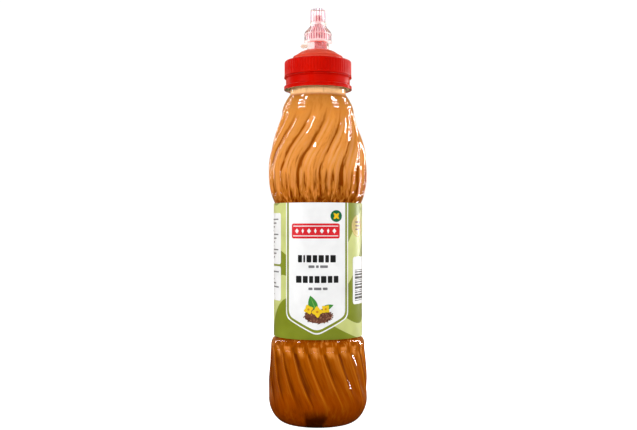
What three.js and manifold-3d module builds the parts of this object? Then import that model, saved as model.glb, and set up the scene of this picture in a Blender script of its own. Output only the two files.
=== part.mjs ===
// A mustard squeeze bottle: a clear fluted bottle, its mustard, a wrap label, a red screw cap with
// its tamper band, and a clear ribbed cap with a tear ring over the spout.
// Millimetres, +Z up, origin under the middle of the base. The label's front faces -Y.
import * as THREE from "three";
import { mergeVertices } from "three/addons/utils/BufferGeometryUtils.js";
import Module from "manifold-3d";

// Gap kept between pieces that touch, and facets round the smooth pieces.
const FIT_GAP = 0.3;
const SMOOTH_FACETS = 40;

// Base of the bottle: a flat contact ring, a raised middle and a rounded corner up to the belly.
const RING_INNER_RADIUS = 16.5;
const RING_OUTER_RADIUS = 20;
const BASE_RISE = 6;
const BASE_RISE_RADIUS = 12;
const BASE_CORNER_WIDTH = 10.4;
const BASE_CORNER_HEIGHT = 14.5;
const BASE_CORNER_POWER = 1.8;

// Belly below the label.
const BELLY_RADIUS = 30.6;
const BELLY_MIDDLE = 19;
const BELLY_TOP = 46.3;
const BELLY_TOP_RADIUS = 29.1;

// Straight waist that carries the label.
const WAIST_RADIUS = 26.8;
const WAIST_BOTTOM = 52.4;
const WAIST_TOP = 135.2;

// Chest above the label, the shoulder above that, the rippled collar and the neck.
const CHEST_RADIUS = 30.5;
const CHEST_MIDDLE = 156.4;
const COLLAR_RADIUS = 22.2;
const COLLAR_BOTTOM = 191;
const NECK_RADIUS = 17.2;
const NECK_BOTTOM = 202;
const MOUTH_HEIGHT = 221.3;
const MOUTH_WALL = 1.5;

// Support ring round the neck, under the tamper band.
const SUPPORT_RADIUS = 21;
const SUPPORT_BOTTOM = 204.7;
const SUPPORT_THICKNESS = 1.5;

// Lower flutes: scoops between sharp ridges, arched at the top, leaning to the right as they fall.
const SCOOP_COUNT = 20;
const SCOOP_COLUMNS = 4;
const SCOOP_DEPTH = 1.3;
const SCOOP_TOP = 49.4;
const SCOOP_ARCH = 3;
const SCOOP_RUN_IN = 3.4;
const SCOOP_FADE_START = 24;
const SCOOP_END = 14;
const SCOOP_TURN = 25;
const SCOOP_TURN_POWER = 1.3;
const SCOOP_PHASE = 4.9;

// Upper flutes: round waves that lean to the right as they rise, and double in number low down.
const WAVE_COUNT = 14;
const WAVE_COLUMNS = 6;
const WAVE_DEPTH = 1.6;
const FINE_WAVE_DEPTH = 1.1;
const WAVE_TOP = 193;
const WAVE_FADE = 9;
const SPLIT_TOP = 161;
const SPLIT_BOTTOM = 151;
const WAVE_END = 138.8;
const WAVE_RUN_OUT = 3;
const WAVE_TURN = 38;
const WAVE_TURN_BOTTOM = 152;
const WAVE_TURN_TOP = 196;
const WAVE_PHASE = -7.5;

// Wall behind the deepest flute, and how far the mustard stays off it.
const WALL = 0.7;
const MUSTARD_LEVEL = 208.5;

// Label: a thin band round the waist.
const LABEL_BOTTOM = 53.4;
const LABEL_TOP = 134.6;
const LABEL_THICKNESS = 0.3;
const LABEL_FACETS = 60;

// Tamper band under the cap.
const BAND_RADIUS = 19.8;
const BAND_LIP = 21;
const BAND_INNER_RADIUS = 18.5;
const BAND_BOTTOM = 206.5;
const BAND_TOP = 212.7;

// Screw cap: a finely ribbed skirt, a flat deck, a domed middle and the spout.
const SKIRT_RADIUS = 20.75;
const SKIRT_RIBS = 72;
const SKIRT_RIB_DEPTH = 0.35;
const SKIRT_BOTTOM = 213;
const SKIRT_TOP = 222.2;
const SKIRT_INNER_RADIUS = 18.9;
const DECK_HEIGHT = 222.7;
const DECK_THICKNESS = 1.1;
const DOME_FOOT_RADIUS = 15.4;
const DOME_FOOT_TOP = 225;
const DOME_TOP = 229.1;
const DOME_TOP_RADIUS = 9;
const DOME_WALL = 1.4;
const SPOUT_COLLAR_RADIUS = 5.2;
const SPOUT_BEAD_RADIUS = 5.6;
const SPOUT_BEAD_BOTTOM = 231.1;
const SPOUT_WAIST = 241.5;
const SPOUT_WAIST_RADIUS = 3.6;
const SPOUT_TIP_RADIUS = 1.9;
const SPOUT_TOP = 251.5;
const SPOUT_BORE = 1.1;
const SPOUT_ROOT_BORE = 3.6;

// Clear cap over the spout: a rim, a ribbed drum, a ribbed bell, a collar and a ribbed finger.
const RIM_RADIUS = 8.8;
const RIM_BOTTOM = 234.3;
const RIM_TOP = 235.2;
const DRUM_RADIUS = 8.4;
const DRUM_BOTTOM = 235.7;
const DRUM_TOP = 238.9;
const BELL_BOTTOM = 239.8;
const BELL_TOP = 244.9;
const BELL_TOP_RADIUS = 5.1;
const COLLAR_RING_RADIUS = 5.3;
const COLLAR_RING_TOP = 246.3;
const FINGER_RADIUS = 4.7;
const FINGER_BOTTOM = 246.8;
const SPOUT_CAP_TOP = 255.4;
const SPOUT_CAP_ROUNDING = 0.9;
const SPOUT_CAP_ROOF = 1.4;
const WIDE_RIBS = 32;
const NARROW_RIBS = 16;
const RIB_DEPTH = 0.45;

// Tear ring under the clear cap, with its pull tab out to the left.
const TEAR_RING_RADIUS = 6.7;
const TEAR_RING_WALL = 0.7;
const TEAR_RING_BOTTOM = 229.5;
const TAB_REACH = 10.8;
const TAB_MIDDLE = 232.3;
const TAB_HEIGHT = 2.6;
const TAB_THICKNESS = 1.1;

const radians = THREE.MathUtils.degToRad;
const { clamp, lerp, smoothstep } = THREE.MathUtils;

// A value that leaves `from` fast and settles on `to`, for t from 0 to 1.
function settle(from, to, t, power) {
  return to + (from - to) * (1 - clamp(t, 0, 1)) ** power;
}

// Radius of the body over its ridges at a height, from the contact ring to the neck.
function bodyRadius(z) {
  if (z <= BASE_CORNER_HEIGHT) {
    const drop = (1 - z / BASE_CORNER_HEIGHT) ** BASE_CORNER_POWER;
    return RING_OUTER_RADIUS + BASE_CORNER_WIDTH * (1 - drop) ** (1 / BASE_CORNER_POWER);
  }
  if (z <= BELLY_MIDDLE) {
    return lerp(RING_OUTER_RADIUS + BASE_CORNER_WIDTH, BELLY_RADIUS,
      smoothstep(z, BASE_CORNER_HEIGHT, BELLY_MIDDLE));
  }
  if (z <= BELLY_TOP) {
    const t = (z - BELLY_MIDDLE) / (BELLY_TOP - BELLY_MIDDLE);
    return BELLY_RADIUS - (BELLY_RADIUS - BELLY_TOP_RADIUS) * t ** 1.6;
  }
  if (z <= WAIST_BOTTOM) {
    const t = (z - BELLY_TOP) / (WAIST_BOTTOM - BELLY_TOP);
    return lerp(BELLY_TOP_RADIUS, WAIST_RADIUS, 1 - Math.sqrt(1 - t * t));
  }
  if (z <= WAIST_TOP) {
    return WAIST_RADIUS;
  }
  if (z <= CHEST_MIDDLE) {
    return settle(WAIST_RADIUS, CHEST_RADIUS, (z - WAIST_TOP) / (CHEST_MIDDLE - WAIST_TOP), 2.8);
  }
  if (z <= COLLAR_BOTTOM) {
    const t = (COLLAR_BOTTOM - z) / (COLLAR_BOTTOM - CHEST_MIDDLE);
    return lerp(COLLAR_RADIUS, CHEST_RADIUS, Math.sin(t * Math.PI / 2) ** 1.25);
  }
  return settle(NECK_RADIUS, COLLAR_RADIUS, (NECK_BOTTOM - z) / (NECK_BOTTOM - COLLAR_BOTTOM), 1.6);
}

// How far the upper waves have turned at a height, in degrees.
function waveTurn(z) {
  return WAVE_PHASE + WAVE_TURN * smoothstep(z, WAVE_TURN_BOTTOM, WAVE_TURN_TOP);
}

// How far the lower scoops have turned at a height, in degrees.
function scoopTurn(z) {
  const t = clamp((SCOOP_TOP - z) / (SCOOP_TOP - SCOOP_END), 0, 1);
  return SCOOP_PHASE + SCOOP_TURN * t ** SCOOP_TURN_POWER;
}

// Depth of an upper wave at a height, u being the share of the way from one crest to the next.
function waveDepth(u, z) {
  const split = 1 - smoothstep(z, SPLIT_BOTTOM, SPLIT_TOP);
  const broad = WAVE_DEPTH * (1 - Math.cos(2 * Math.PI * u)) / 2;
  const fine = FINE_WAVE_DEPTH * (1 - Math.cos(4 * Math.PI * u)) / 2;
  const ends = smoothstep(z, WAVE_END, WAVE_END + WAVE_RUN_OUT)
    * (1 - smoothstep(z, WAVE_TOP - WAVE_FADE, WAVE_TOP));
  return lerp(broad, fine, split) * ends;
}

// Depth of a lower scoop at a height, u being the share of the way from one ridge to the next.
function scoopDepth(u, z) {
  const across = 2 * u - 1;
  const top = SCOOP_TOP - SCOOP_ARCH * across * across;
  const ends = smoothstep(z, SCOOP_END, SCOOP_FADE_START)
    * (1 - smoothstep(z, top - SCOOP_RUN_IN, top));
  return SCOOP_DEPTH * (1 - across * across) * ends;
}

// A ring of points at one height. Its first point stands `turn` degrees right of the front.
function ring(count, radius, z, turn = 0, depth = () => 0) {
  const points = [];
  for (let k = 0; k < count; k += 1) {
    const angle = radians(turn) + 2 * Math.PI * k / count;
    const r = radius - depth(k);
    points.push(new THREE.Vector3(r * Math.sin(angle), -r * Math.cos(angle), z));
  }
  return { points, turn };
}

// Joins a ring to the next one up the run with triangles, facing out of the solid. Where the rings
// hold different numbers of points, each step moves on along the ring whose next point comes first.
function joinRings(index, low, high, lowStart, highStart) {
  const lowCount = low.points.length;
  const highCount = high.points.length;
  const even = lowCount === highCount || highCount === 1;
  const lag = (low.turn - high.turn) / 360;
  const skip = even ? 0 : Math.round(lag * highCount);
  const lead = even ? 0 : skip / highCount - lag;
  const lowPoint = (i) => lowStart + i % lowCount;
  const highPoint = (j) => highStart + (j + skip + highCount) % highCount;
  let i = 0;
  let j = 0;
  while (i < lowCount || j < highCount) {
    const nextLow = i < lowCount ? (i + 0.5) / lowCount : Infinity;
    const nextHigh = j < highCount ? (j + 0.5) / highCount + lead : Infinity;
    if (nextLow <= nextHigh) {
      if (lowCount > 1) {
        index.push(lowPoint(i), lowPoint(i + 1), highPoint(j));
      }
      i += 1;
    } else {
      if (highCount > 1) {
        index.push(lowPoint(i), highPoint(j + 1), highPoint(j));
      }
      j += 1;
    }
  }
}

// A closed solid from a run of rings: up the outside and, for a hollow piece, down the inside.
// Each end is one point on the axis, unless the run closes on itself.
function skin(rings, closesOnItself = false) {
  const position = [];
  const starts = [];
  for (const one of rings) {
    starts.push(position.length / 3);
    one.points.forEach((p) => position.push(p.x, p.y, p.z));
  }
  const index = [];
  const joins = closesOnItself ? rings.length : rings.length - 1;
  for (let k = 0; k < joins; k += 1) {
    const next = (k + 1) % rings.length;
    joinRings(index, rings[k], rings[next], starts[k], starts[next]);
  }
  const geometry = new THREE.BufferGeometry();
  geometry.setAttribute("position", new THREE.Float32BufferAttribute(position, 3));
  geometry.setIndex(index);
  geometry.computeVertexNormals();
  return geometry;
}

// A solid of revolution from [radius, height] pairs, run up the outside and down the inside.
function turned(profile, facets = SMOOTH_FACETS) {
  const points = profile.map(([r, z]) => new THREE.Vector2(r, z));
  return new THREE.LatheGeometry(points, facets).rotateX(Math.PI / 2);
}

// Heights from one level to another in equal steps, both ends included.
function levels(from, to, steps) {
  return Array.from({ length: steps + 1 }, (_, k) => lerp(from, to, k / steps));
}

// Radius of the cavity, which clears the deepest flute at every height.
function cavityRadius(z) {
  const fluteDepth = z > WAIST_TOP ? WAVE_DEPTH : SCOOP_DEPTH;
  const fluted = (z > SCOOP_END && z < SCOOP_TOP) || (z > WAVE_END && z < WAVE_TOP);
  return bodyRadius(z) - WALL - (fluted ? fluteDepth : 0);
}

// The cavity's outline from its floor to the top of the neck, drawn in by an inset.
function cavityOutline(inset, top) {
  const floor = BASE_RISE + WALL + inset;
  const wide = [BELLY_MIDDLE, (BELLY_MIDDLE + BELLY_TOP) / 2, BELLY_TOP, WAIST_BOTTOM, WAIST_TOP,
    WAVE_END + 2 * WAVE_RUN_OUT, CHEST_MIDDLE].map((z) => [cavityRadius(z) - inset, z]);
  const shoulder = levels(CHEST_MIDDLE, COLLAR_BOTTOM, 4).slice(1)
    .map((z) => [cavityRadius(z) - inset, z]);
  const neck = NECK_RADIUS - MOUTH_WALL - inset;
  return [
    [BASE_RISE_RADIUS, floor],
    [RING_OUTER_RADIUS - inset, floor - BASE_RISE / 2],
    [RING_OUTER_RADIUS + BASE_CORNER_WIDTH / 2 - inset, floor + 0.5],
    ...wide,
    ...shoulder,
    [neck, NECK_BOTTOM - 1],
    [neck, top],
  ];
}

// Rings of the outer wall from the base to the waist, with the lower scoops.
function lowerWall() {
  const columns = SCOOP_COUNT * SCOOP_COLUMNS;
  const rings = [
    ring(1, 0, BASE_RISE),
    ring(SMOOTH_FACETS, BASE_RISE_RADIUS, BASE_RISE - 1),
    ring(SMOOTH_FACETS, RING_INNER_RADIUS, 0),
    ring(SMOOTH_FACETS, RING_OUTER_RADIUS, 0),
  ];
  for (const share of [0.07, 0.22, 0.48]) {
    const z = share * BASE_CORNER_HEIGHT;
    rings.push(ring(SMOOTH_FACETS, bodyRadius(z), z));
  }
  const archFoot = SCOOP_TOP - SCOOP_ARCH;
  const heights = [...levels(SCOOP_END - 1, archFoot - SCOOP_RUN_IN, 7),
    archFoot - SCOOP_RUN_IN / 2, archFoot, (archFoot + SCOOP_TOP) / 2, SCOOP_TOP, WAIST_BOTTOM];
  for (const z of heights) {
    rings.push(ring(columns, bodyRadius(z), z, scoopTurn(z),
      (k) => scoopDepth((k % SCOOP_COLUMNS) / SCOOP_COLUMNS, z)));
  }
  return rings;
}

// Rings of the outer wall from the waist to the collar, with the upper waves.
function upperWall() {
  const columns = WAVE_COUNT * WAVE_COLUMNS;
  const heights = [WAIST_TOP, 137, WAVE_END, WAVE_END + WAVE_RUN_OUT,
    ...levels(145.5, WAVE_TOP, 12)];
  return heights.map((z) => ring(columns, bodyRadius(z), z, waveTurn(z),
    (k) => waveDepth((k % WAVE_COLUMNS) / WAVE_COLUMNS, z)));
}

// Rings of the collar, the neck, its support ring and the mouth, then the cavity down to its floor.
function neckAndCavity() {
  const supportTop = SUPPORT_BOTTOM + SUPPORT_THICKNESS;
  const outline = [
    [bodyRadius(197), 197], [bodyRadius(200), 200], [NECK_RADIUS, NECK_BOTTOM],
    [NECK_RADIUS, SUPPORT_BOTTOM - 0.4], [SUPPORT_RADIUS, SUPPORT_BOTTOM],
    [SUPPORT_RADIUS, supportTop], [NECK_RADIUS, supportTop + 0.4],
    [NECK_RADIUS, MOUTH_HEIGHT], [NECK_RADIUS - MOUTH_WALL, MOUTH_HEIGHT],
    ...cavityOutline(0, MOUTH_HEIGHT - 1).reverse(),
  ];
  const rings = outline.map(([radius, z]) => ring(SMOOTH_FACETS, radius, z));
  rings.push(ring(1, 0, BASE_RISE + WALL));
  return rings;
}

// The clear bottle in one piece.
function bottle() {
  return skin([...lowerWall(), ...upperWall(), ...neckAndCavity()]);
}

// The mustard, which fills the cavity up into the neck.
function mustard() {
  const outline = cavityOutline(FIT_GAP + 0.05, MUSTARD_LEVEL);
  return turned([[0, BASE_RISE + WALL + FIT_GAP + 0.05], ...outline, [0, MUSTARD_LEVEL]]);
}

// A ring of rectangular section.
function band(inner, outer, bottom, top, facets) {
  return turned([[inner, bottom], [outer, bottom], [outer, top], [inner, top], [inner, bottom]],
    facets);
}

// The wrap label.
function label() {
  const inner = WAIST_RADIUS + FIT_GAP;
  return band(inner, inner + LABEL_THICKNESS, LABEL_BOTTOM, LABEL_TOP, LABEL_FACETS);
}

// The tamper band, with a thin lip at each edge.
function tamperBand() {
  const lip = 0.5;
  return turned([
    [BAND_INNER_RADIUS, BAND_BOTTOM], [BAND_LIP - 0.2, BAND_BOTTOM],
    [BAND_LIP - 0.2, BAND_BOTTOM + lip], [BAND_RADIUS, BAND_BOTTOM + 2 * lip],
    [BAND_RADIUS, BAND_TOP - 2 * lip], [BAND_LIP, BAND_TOP - lip], [BAND_LIP, BAND_TOP],
    [BAND_INNER_RADIUS, BAND_TOP], [BAND_INNER_RADIUS, BAND_BOTTOM],
  ], SMOOTH_FACETS);
}

// A ring of ribs: every other point lies in a groove.
function ribbed(ribs, radius, z, depth) {
  return ring(2 * ribs, radius, z, 0, (k) => (k % 2) * depth);
}

// The screw cap in one piece, from the skirt's foot over the dome and spout, and back down inside.
function screwCap() {
  const plain = ([radius, z]) => ring(SMOOTH_FACETS, radius, z);
  const underside = DECK_HEIGHT - DECK_THICKNESS;
  const outside = [
    ribbed(SKIRT_RIBS, SKIRT_RADIUS, SKIRT_BOTTOM, SKIRT_RIB_DEPTH),
    ribbed(SKIRT_RIBS, SKIRT_RADIUS, SKIRT_TOP, SKIRT_RIB_DEPTH),
  ];
  const top = [
    [SKIRT_RADIUS - 0.7, DECK_HEIGHT], [DOME_FOOT_RADIUS + 0.3, DECK_HEIGHT],
    [DOME_FOOT_RADIUS, DOME_FOOT_TOP], [DOME_FOOT_RADIUS - 1.6, DOME_FOOT_TOP + 1.2],
    [DOME_TOP_RADIUS + 1.9, DOME_TOP - 0.9], [DOME_TOP_RADIUS, DOME_TOP],
  ].map(plain);
  const spout = [
    [SPOUT_COLLAR_RADIUS, DOME_TOP + 0.1], [SPOUT_COLLAR_RADIUS, SPOUT_BEAD_BOTTOM - 0.5],
    [SPOUT_BEAD_RADIUS, SPOUT_BEAD_BOTTOM], [SPOUT_BEAD_RADIUS, SPOUT_BEAD_BOTTOM + 1],
    [SPOUT_COLLAR_RADIUS, SPOUT_BEAD_BOTTOM + 1.5], [SPOUT_COLLAR_RADIUS - 0.2, RIM_TOP + 1],
    [SPOUT_WAIST_RADIUS, SPOUT_WAIST], [SPOUT_TIP_RADIUS + 0.5, BELL_TOP],
    [SPOUT_TIP_RADIUS, SPOUT_TOP], [SPOUT_BORE, SPOUT_TOP], [SPOUT_BORE, BELL_TOP - 1.5],
    [SPOUT_ROOT_BORE, RIM_TOP], [SPOUT_ROOT_BORE, DOME_TOP - DOME_WALL],
  ].map(([radius, z]) => ring(SMOOTH_FACETS / 2, radius, z));
  const inside = [
    [DOME_TOP_RADIUS, DOME_TOP - DOME_WALL], [DOME_FOOT_RADIUS - DOME_WALL - 1, DOME_FOOT_TOP - 0.4],
    [DOME_FOOT_RADIUS - DOME_WALL, underside], [SKIRT_INNER_RADIUS, underside],
    [SKIRT_INNER_RADIUS, SKIRT_BOTTOM],
  ].map(plain);
  return skin([...outside, ...top, ...spout, ...inside], true);
}

// The clear cap over the spout, hollow and open underneath.
function spoutCap() {
  const wide = (radius, z) => ribbed(WIDE_RIBS, radius, z, RIB_DEPTH);
  const narrow = (radius, z) => ribbed(NARROW_RIBS, radius, z, RIB_DEPTH);
  const plain = (radius, z) => ring(SMOOTH_FACETS / 2, radius, z);
  const bell = levels(BELL_BOTTOM, BELL_TOP, 4)
    .map((z) => wide(lerp(DRUM_RADIUS, BELL_TOP_RADIUS, smoothstep(z, BELL_BOTTOM, BELL_TOP)), z));
  const shoulder = SPOUT_CAP_TOP - SPOUT_CAP_ROUNDING;
  const roof = SPOUT_CAP_TOP - SPOUT_CAP_ROOF;
  return skin([
    plain(RIM_RADIUS, RIM_BOTTOM), plain(RIM_RADIUS, RIM_TOP),
    wide(DRUM_RADIUS, DRUM_BOTTOM), wide(DRUM_RADIUS, DRUM_TOP),
    plain(DRUM_RADIUS + 0.3, (DRUM_TOP + BELL_BOTTOM) / 2), ...bell,
    plain(COLLAR_RING_RADIUS, BELL_TOP + 0.4), plain(COLLAR_RING_RADIUS, COLLAR_RING_TOP),
    narrow(FINGER_RADIUS, FINGER_BOTTOM), narrow(FINGER_RADIUS - 0.2, shoulder),
    plain(FINGER_RADIUS - 1.2, SPOUT_CAP_TOP), ring(1, 0, SPOUT_CAP_TOP),
    ring(1, 0, roof), plain(2.6, roof), plain(3.1, COLLAR_RING_TOP), plain(4.4, BELL_TOP - 2),
    plain(6.4, BELL_BOTTOM - 1), plain(6.4, RIM_BOTTOM),
  ], true);
}

const wasm = await Module();
wasm.setup();

// The geometry as a solid that can be joined or cut.
function toSolid(geometry) {
  const bare = geometry.clone();
  bare.deleteAttribute("normal");
  bare.deleteAttribute("uv");
  const merged = mergeVertices(bare, 1e-3);
  return new wasm.Manifold(new wasm.Mesh({
    numProp: 3,
    vertProperties: new Float32Array(merged.attributes.position.array),
    triVerts: new Uint32Array(merged.index.array),
  }));
}

// The joined or cut solid as a geometry again.
function toGeometry(solid) {
  const mesh = solid.getMesh();
  const geometry = new THREE.BufferGeometry();
  geometry.setAttribute("position", new THREE.BufferAttribute(mesh.vertProperties, 3));
  geometry.setIndex(new THREE.BufferAttribute(mesh.triVerts, 1));
  geometry.computeVertexNormals();
  return geometry;
}

// The pull tab: a flat tongue with a round end, standing on edge against the ring's left side.
function pullTab() {
  const root = TEAR_RING_RADIUS - TEAR_RING_WALL / 2;
  const half = TAB_HEIGHT / 2;
  const outline = new THREE.Shape();
  outline.moveTo(-root, -half / 2);
  outline.lineTo(-root, half / 2);
  outline.lineTo(half - TAB_REACH + 1, half);
  outline.absarc(half - TAB_REACH, 0, half, Math.PI / 2, 3 * Math.PI / 2, false);
  outline.lineTo(half - TAB_REACH + 1, -half);
  const tongue = new THREE.ExtrudeGeometry(outline,
    { depth: TAB_THICKNESS, bevelEnabled: false, curveSegments: 5 });
  return tongue.translate(0, 0, -TAB_THICKNESS / 2).rotateX(Math.PI / 2)
    .translate(0, 0, TAB_MIDDLE);
}

// The tear ring between the clear cap and the screw cap, in one piece with its pull tab.
function tearRing() {
  const inner = TEAR_RING_RADIUS - TEAR_RING_WALL;
  const hoop = band(inner, TEAR_RING_RADIUS, TEAR_RING_BOTTOM, RIM_BOTTOM - FIT_GAP,
    SMOOTH_FACETS / 2);
  return toGeometry(toSolid(hoop).add(toSolid(pullTab())));
}

// One named mesh with its own finish.
function piece(name, geometry, color, roughness, opacity = 1) {
  const material = new THREE.MeshStandardMaterial({
    color, roughness, metalness: 0, transparent: opacity < 1, opacity,
  });
  const mesh = new THREE.Mesh(geometry, material);
  mesh.name = name;
  return mesh;
}

const group = new THREE.Group();
group.add(
  piece("bottle", bottle(), 0xf4efe6, 0.08, 0.3),
  piece("mustard", mustard(), 0xd88634, 0.45),
  piece("label", label(), 0x7f8723, 0.4),
  piece("tamper_band", tamperBand(), 0xd01808, 0.35),
  piece("screw_cap", screwCap(), 0xd01808, 0.35),
  piece("spout_cap", spoutCap(), 0xf2dfe2, 0.12, 0.35),
  piece("tear_ring", tearRing(), 0xf2dfe2, 0.15, 0.5),
);

export default group;
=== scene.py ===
"""Looks of a mustard squeeze bottle: clear wall, mustard, wrap label, red screw cap and clear spout cap."""

import logging
import math
from dataclasses import dataclass, field
from enum import Enum
from functools import partial
from typing import Any, Callable, Iterable

import bmesh
import bpy
import numpy as np
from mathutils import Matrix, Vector


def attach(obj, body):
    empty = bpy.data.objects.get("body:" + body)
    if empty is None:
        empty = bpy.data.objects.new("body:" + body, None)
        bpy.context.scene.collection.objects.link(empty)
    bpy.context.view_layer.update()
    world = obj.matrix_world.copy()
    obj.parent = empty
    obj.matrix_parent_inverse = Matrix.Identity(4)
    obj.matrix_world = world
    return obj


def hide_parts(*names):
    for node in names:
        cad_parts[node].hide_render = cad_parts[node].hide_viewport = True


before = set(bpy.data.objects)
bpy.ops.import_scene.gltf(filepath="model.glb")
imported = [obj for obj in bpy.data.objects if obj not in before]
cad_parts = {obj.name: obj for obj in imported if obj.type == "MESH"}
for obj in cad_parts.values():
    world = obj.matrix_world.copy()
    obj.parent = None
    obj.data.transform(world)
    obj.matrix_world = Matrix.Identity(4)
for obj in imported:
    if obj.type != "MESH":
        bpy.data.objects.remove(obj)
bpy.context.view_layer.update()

MM = 0.001
SEED = 7
POLE_REACH = 2e-6
WELD_REACH = 1e-5
USUAL_LOW = 0.3
USUAL_HIGH = 0.7
WHITE = (1.0, 1.0, 1.0, 1.0)

Point = tuple[float, float]
Outline = list[Point]
Points = tuple[Point, ...]
Triple = tuple[float, float, float]
Colour = tuple[float, float, float, float]
Stops = tuple[tuple[float, Colour], ...]
Socket = bpy.types.NodeSocket
Material = bpy.types.Material
Piece = bpy.types.Object

log = logging.getLogger("bottle")


def ease(value: Any, low: float, high: float) -> Any:
    """Smooth step from 0 at low to 1 at high, for a number or an array."""
    t = np.clip((value - low) / (high - low), 0.0, 1.0)
    return t * t * (3 - 2 * t)


def blend(first: Any, second: Any, share: Any) -> Any:
    """The value a share of the way from first to second."""
    return first + (second - first) * share


def tone(red: float, green: float, blue: float) -> Colour:
    """Screen colour in 0 to 255 as the linear colour that a shader takes.

    Args:
        red: Red of the screen colour.
        green: Green of the screen colour.
        blue: Blue of the screen colour.

    Returns:
        Linear red, green and blue, with an alpha of 1.
    """
    parts = [c / 255 for c in (red, green, blue)]
    linear = [c / 12.92 if c <= 0.04045 else ((c + 0.055) / 1.055) ** 2.4 for c in parts]
    return (linear[0], linear[1], linear[2], 1.0)


class Slot(Enum):
    """Material slots of the part's record."""

    CLEAR_BOTTLE = "clear_bottle"
    MUSTARD = "mustard"
    PRINTED_LABEL = "printed_label"
    RED_PLASTIC = "red_plastic"
    CLEAR_CAP = "clear_cap"


class NodeBench:
    """The shader nodes of one material, or of the surround."""

    def __init__(self, owner: Material | bpy.types.World) -> None:
        """Starts with no nodes.

        Args:
            owner: The material or surround that gets the nodes.
        """
        owner.use_nodes = True
        self.owner = owner
        self.tree = owner.node_tree
        self.tree.nodes.clear()

    def add(self, kind: str, inputs: dict[str, Any] | None = None, **settings: Any) -> bpy.types.Node:
        """Adds a node.

        Args:
            kind: The node's type name, without the leading ShaderNode.
            inputs: Values for its sockets by name, or sockets to link to them.
            settings: Values for the node's own settings.

        Returns:
            The new node.
        """
        node = self.tree.nodes.new(f"ShaderNode{kind}")
        for key, value in settings.items():
            setattr(node, key, value)
        for key, value in (inputs or {}).items():
            self.feed(node.inputs[key], value)
        return node

    def feed(self, socket: Socket, value: Any) -> None:
        """Links a socket to another one, or sets its value.

        Args:
            socket: The socket.
            value: Its value, or the socket that it is linked to.
        """
        if isinstance(value, Socket):
            self.tree.links.new(value, socket)
        else:
            socket.default_value = value

    def math(self, operation: str, first: Any, second: Any = 0.0) -> Socket:
        """Adds a Math node.

        Args:
            operation: The node's operation.
            first: First number or socket.
            second: Second number or socket.

        Returns:
            The result's socket.
        """
        node = self.add("Math", operation=operation)
        self.feed(node.inputs[0], first)
        self.feed(node.inputs[1], second)
        return node.outputs[0]

    def mix(self, share: Any, first: Any, second: Any) -> Socket:
        """Adds a colour mix.

        Args:
            share: How much of the second colour, from 0 to 1.
            first: First colour or socket.
            second: Second colour or socket.

        Returns:
            The mixed colour's socket.
        """
        node = self.add("Mix", {"Factor": share}, data_type="RGBA")
        for socket, colour in zip([s for s in node.inputs if s.type == "RGBA"], (first, second)):
            self.feed(socket, colour)
        return [s for s in node.outputs if s.type == "RGBA"][0]

    def join(self, kind: str, first: Socket, second: Socket, share: Any = None) -> Socket:
        """Joins two shaders.

        Args:
            kind: MixShader or AddShader.
            first: First shader.
            second: Second shader.
            share: Share of the second shader in a mix.

        Returns:
            The joined shader's socket.
        """
        node = self.add(kind, {} if share is None else {"Fac": share})
        for socket, shader in zip([s for s in node.inputs if s.type == "SHADER"], (first, second)):
            self.feed(socket, shader)
        return node.outputs[0]

    def axes(self, coordinate: str = "Object") -> tuple[Socket, Socket, Socket]:
        """The three parts of a coordinate, in metres for that of the object."""
        node = self.add("SeparateXYZ", {"Vector": self.add("TexCoord").outputs[coordinate]})
        return node.outputs["X"], node.outputs["Y"], node.outputs["Z"]

    def carried(self, name: str, kind: str = "Fac") -> Socket:
        """A value that the mesh carries at each point."""
        return self.add("Attribute", attribute_name=name).outputs[kind]

    def noise(self, scale: float, detail: float = 2.0, stretch: Triple = (1.0, 1.0, 1.0), warp: float = 0.0,
              flowing: bool = False) -> Socket:
        """Adds a noise texture.

        Args:
            scale: Waves of noise a metre.
            detail: Octaves of noise.
            stretch: Scale of each axis before the noise.
            warp: Distortion of the noise.
            flowing: True where the noise follows the swirl of the flutes.

        Returns:
            The socket of its value.
        """
        where = self.carried("flow", "Vector") if flowing else self.add("TexCoord").outputs["Object"]
        where = self.add("Mapping", {"Vector": where, "Scale": stretch}).outputs[0]
        inputs = {"Vector": where, "Scale": scale, "Detail": detail, "Distortion": warp}
        return self.add("TexNoise", inputs).outputs[0]

    def ramp(self, value: Socket, stops: Stops) -> Socket:
        """Adds a colour ramp.

        Args:
            value: Socket that drives the ramp.
            stops: Places from 0 to 1 with their colours.

        Returns:
            The colour's socket.
        """
        node = self.add("ValToRGB", {"Fac": value})
        band = node.color_ramp
        while len(band.elements) < len(stops):
            band.elements.new(0.5)
        for element, (spot, _) in zip(band.elements, stops):
            element.position = spot
        for element, (_, colour) in zip(band.elements, stops):
            element.color = colour
        return node.outputs["Color"]

    def span(self, value: Any, low: float, high: float, start: Any = 0.0, end: Any = 1.0) -> Socket:
        """Maps a value from one range to another, held at both ends.

        Args:
            value: Socket of the value.
            low: Value that gives start.
            high: Value that gives end.
            start: Result at low, a number or a socket.
            end: Result at high, a number or a socket.

        Returns:
            The result's socket.
        """
        inputs = {"Value": value, "From Min": low, "From Max": high, "To Min": start, "To Max": end}
        return self.add("MapRange", inputs).outputs[0]

    def vary(self, noise: Socket, start: float = 0.0, end: float = 1.0) -> Socket:
        """Maps a noise over its usual range to a range of values."""
        return self.span(noise, USUAL_LOW, USUAL_HIGH, start, end)

    def relief(self, height: Socket, strength: float, depth: float) -> Socket:
        """Adds a bump.

        Args:
            height: Socket of the height, from 0 to 1.
            strength: Strength of the bump.
            depth: Depth in metres.

        Returns:
            The normal's socket.
        """
        return self.add("Bump", {"Height": height, "Strength": strength, "Distance": depth}).outputs[0]

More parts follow.
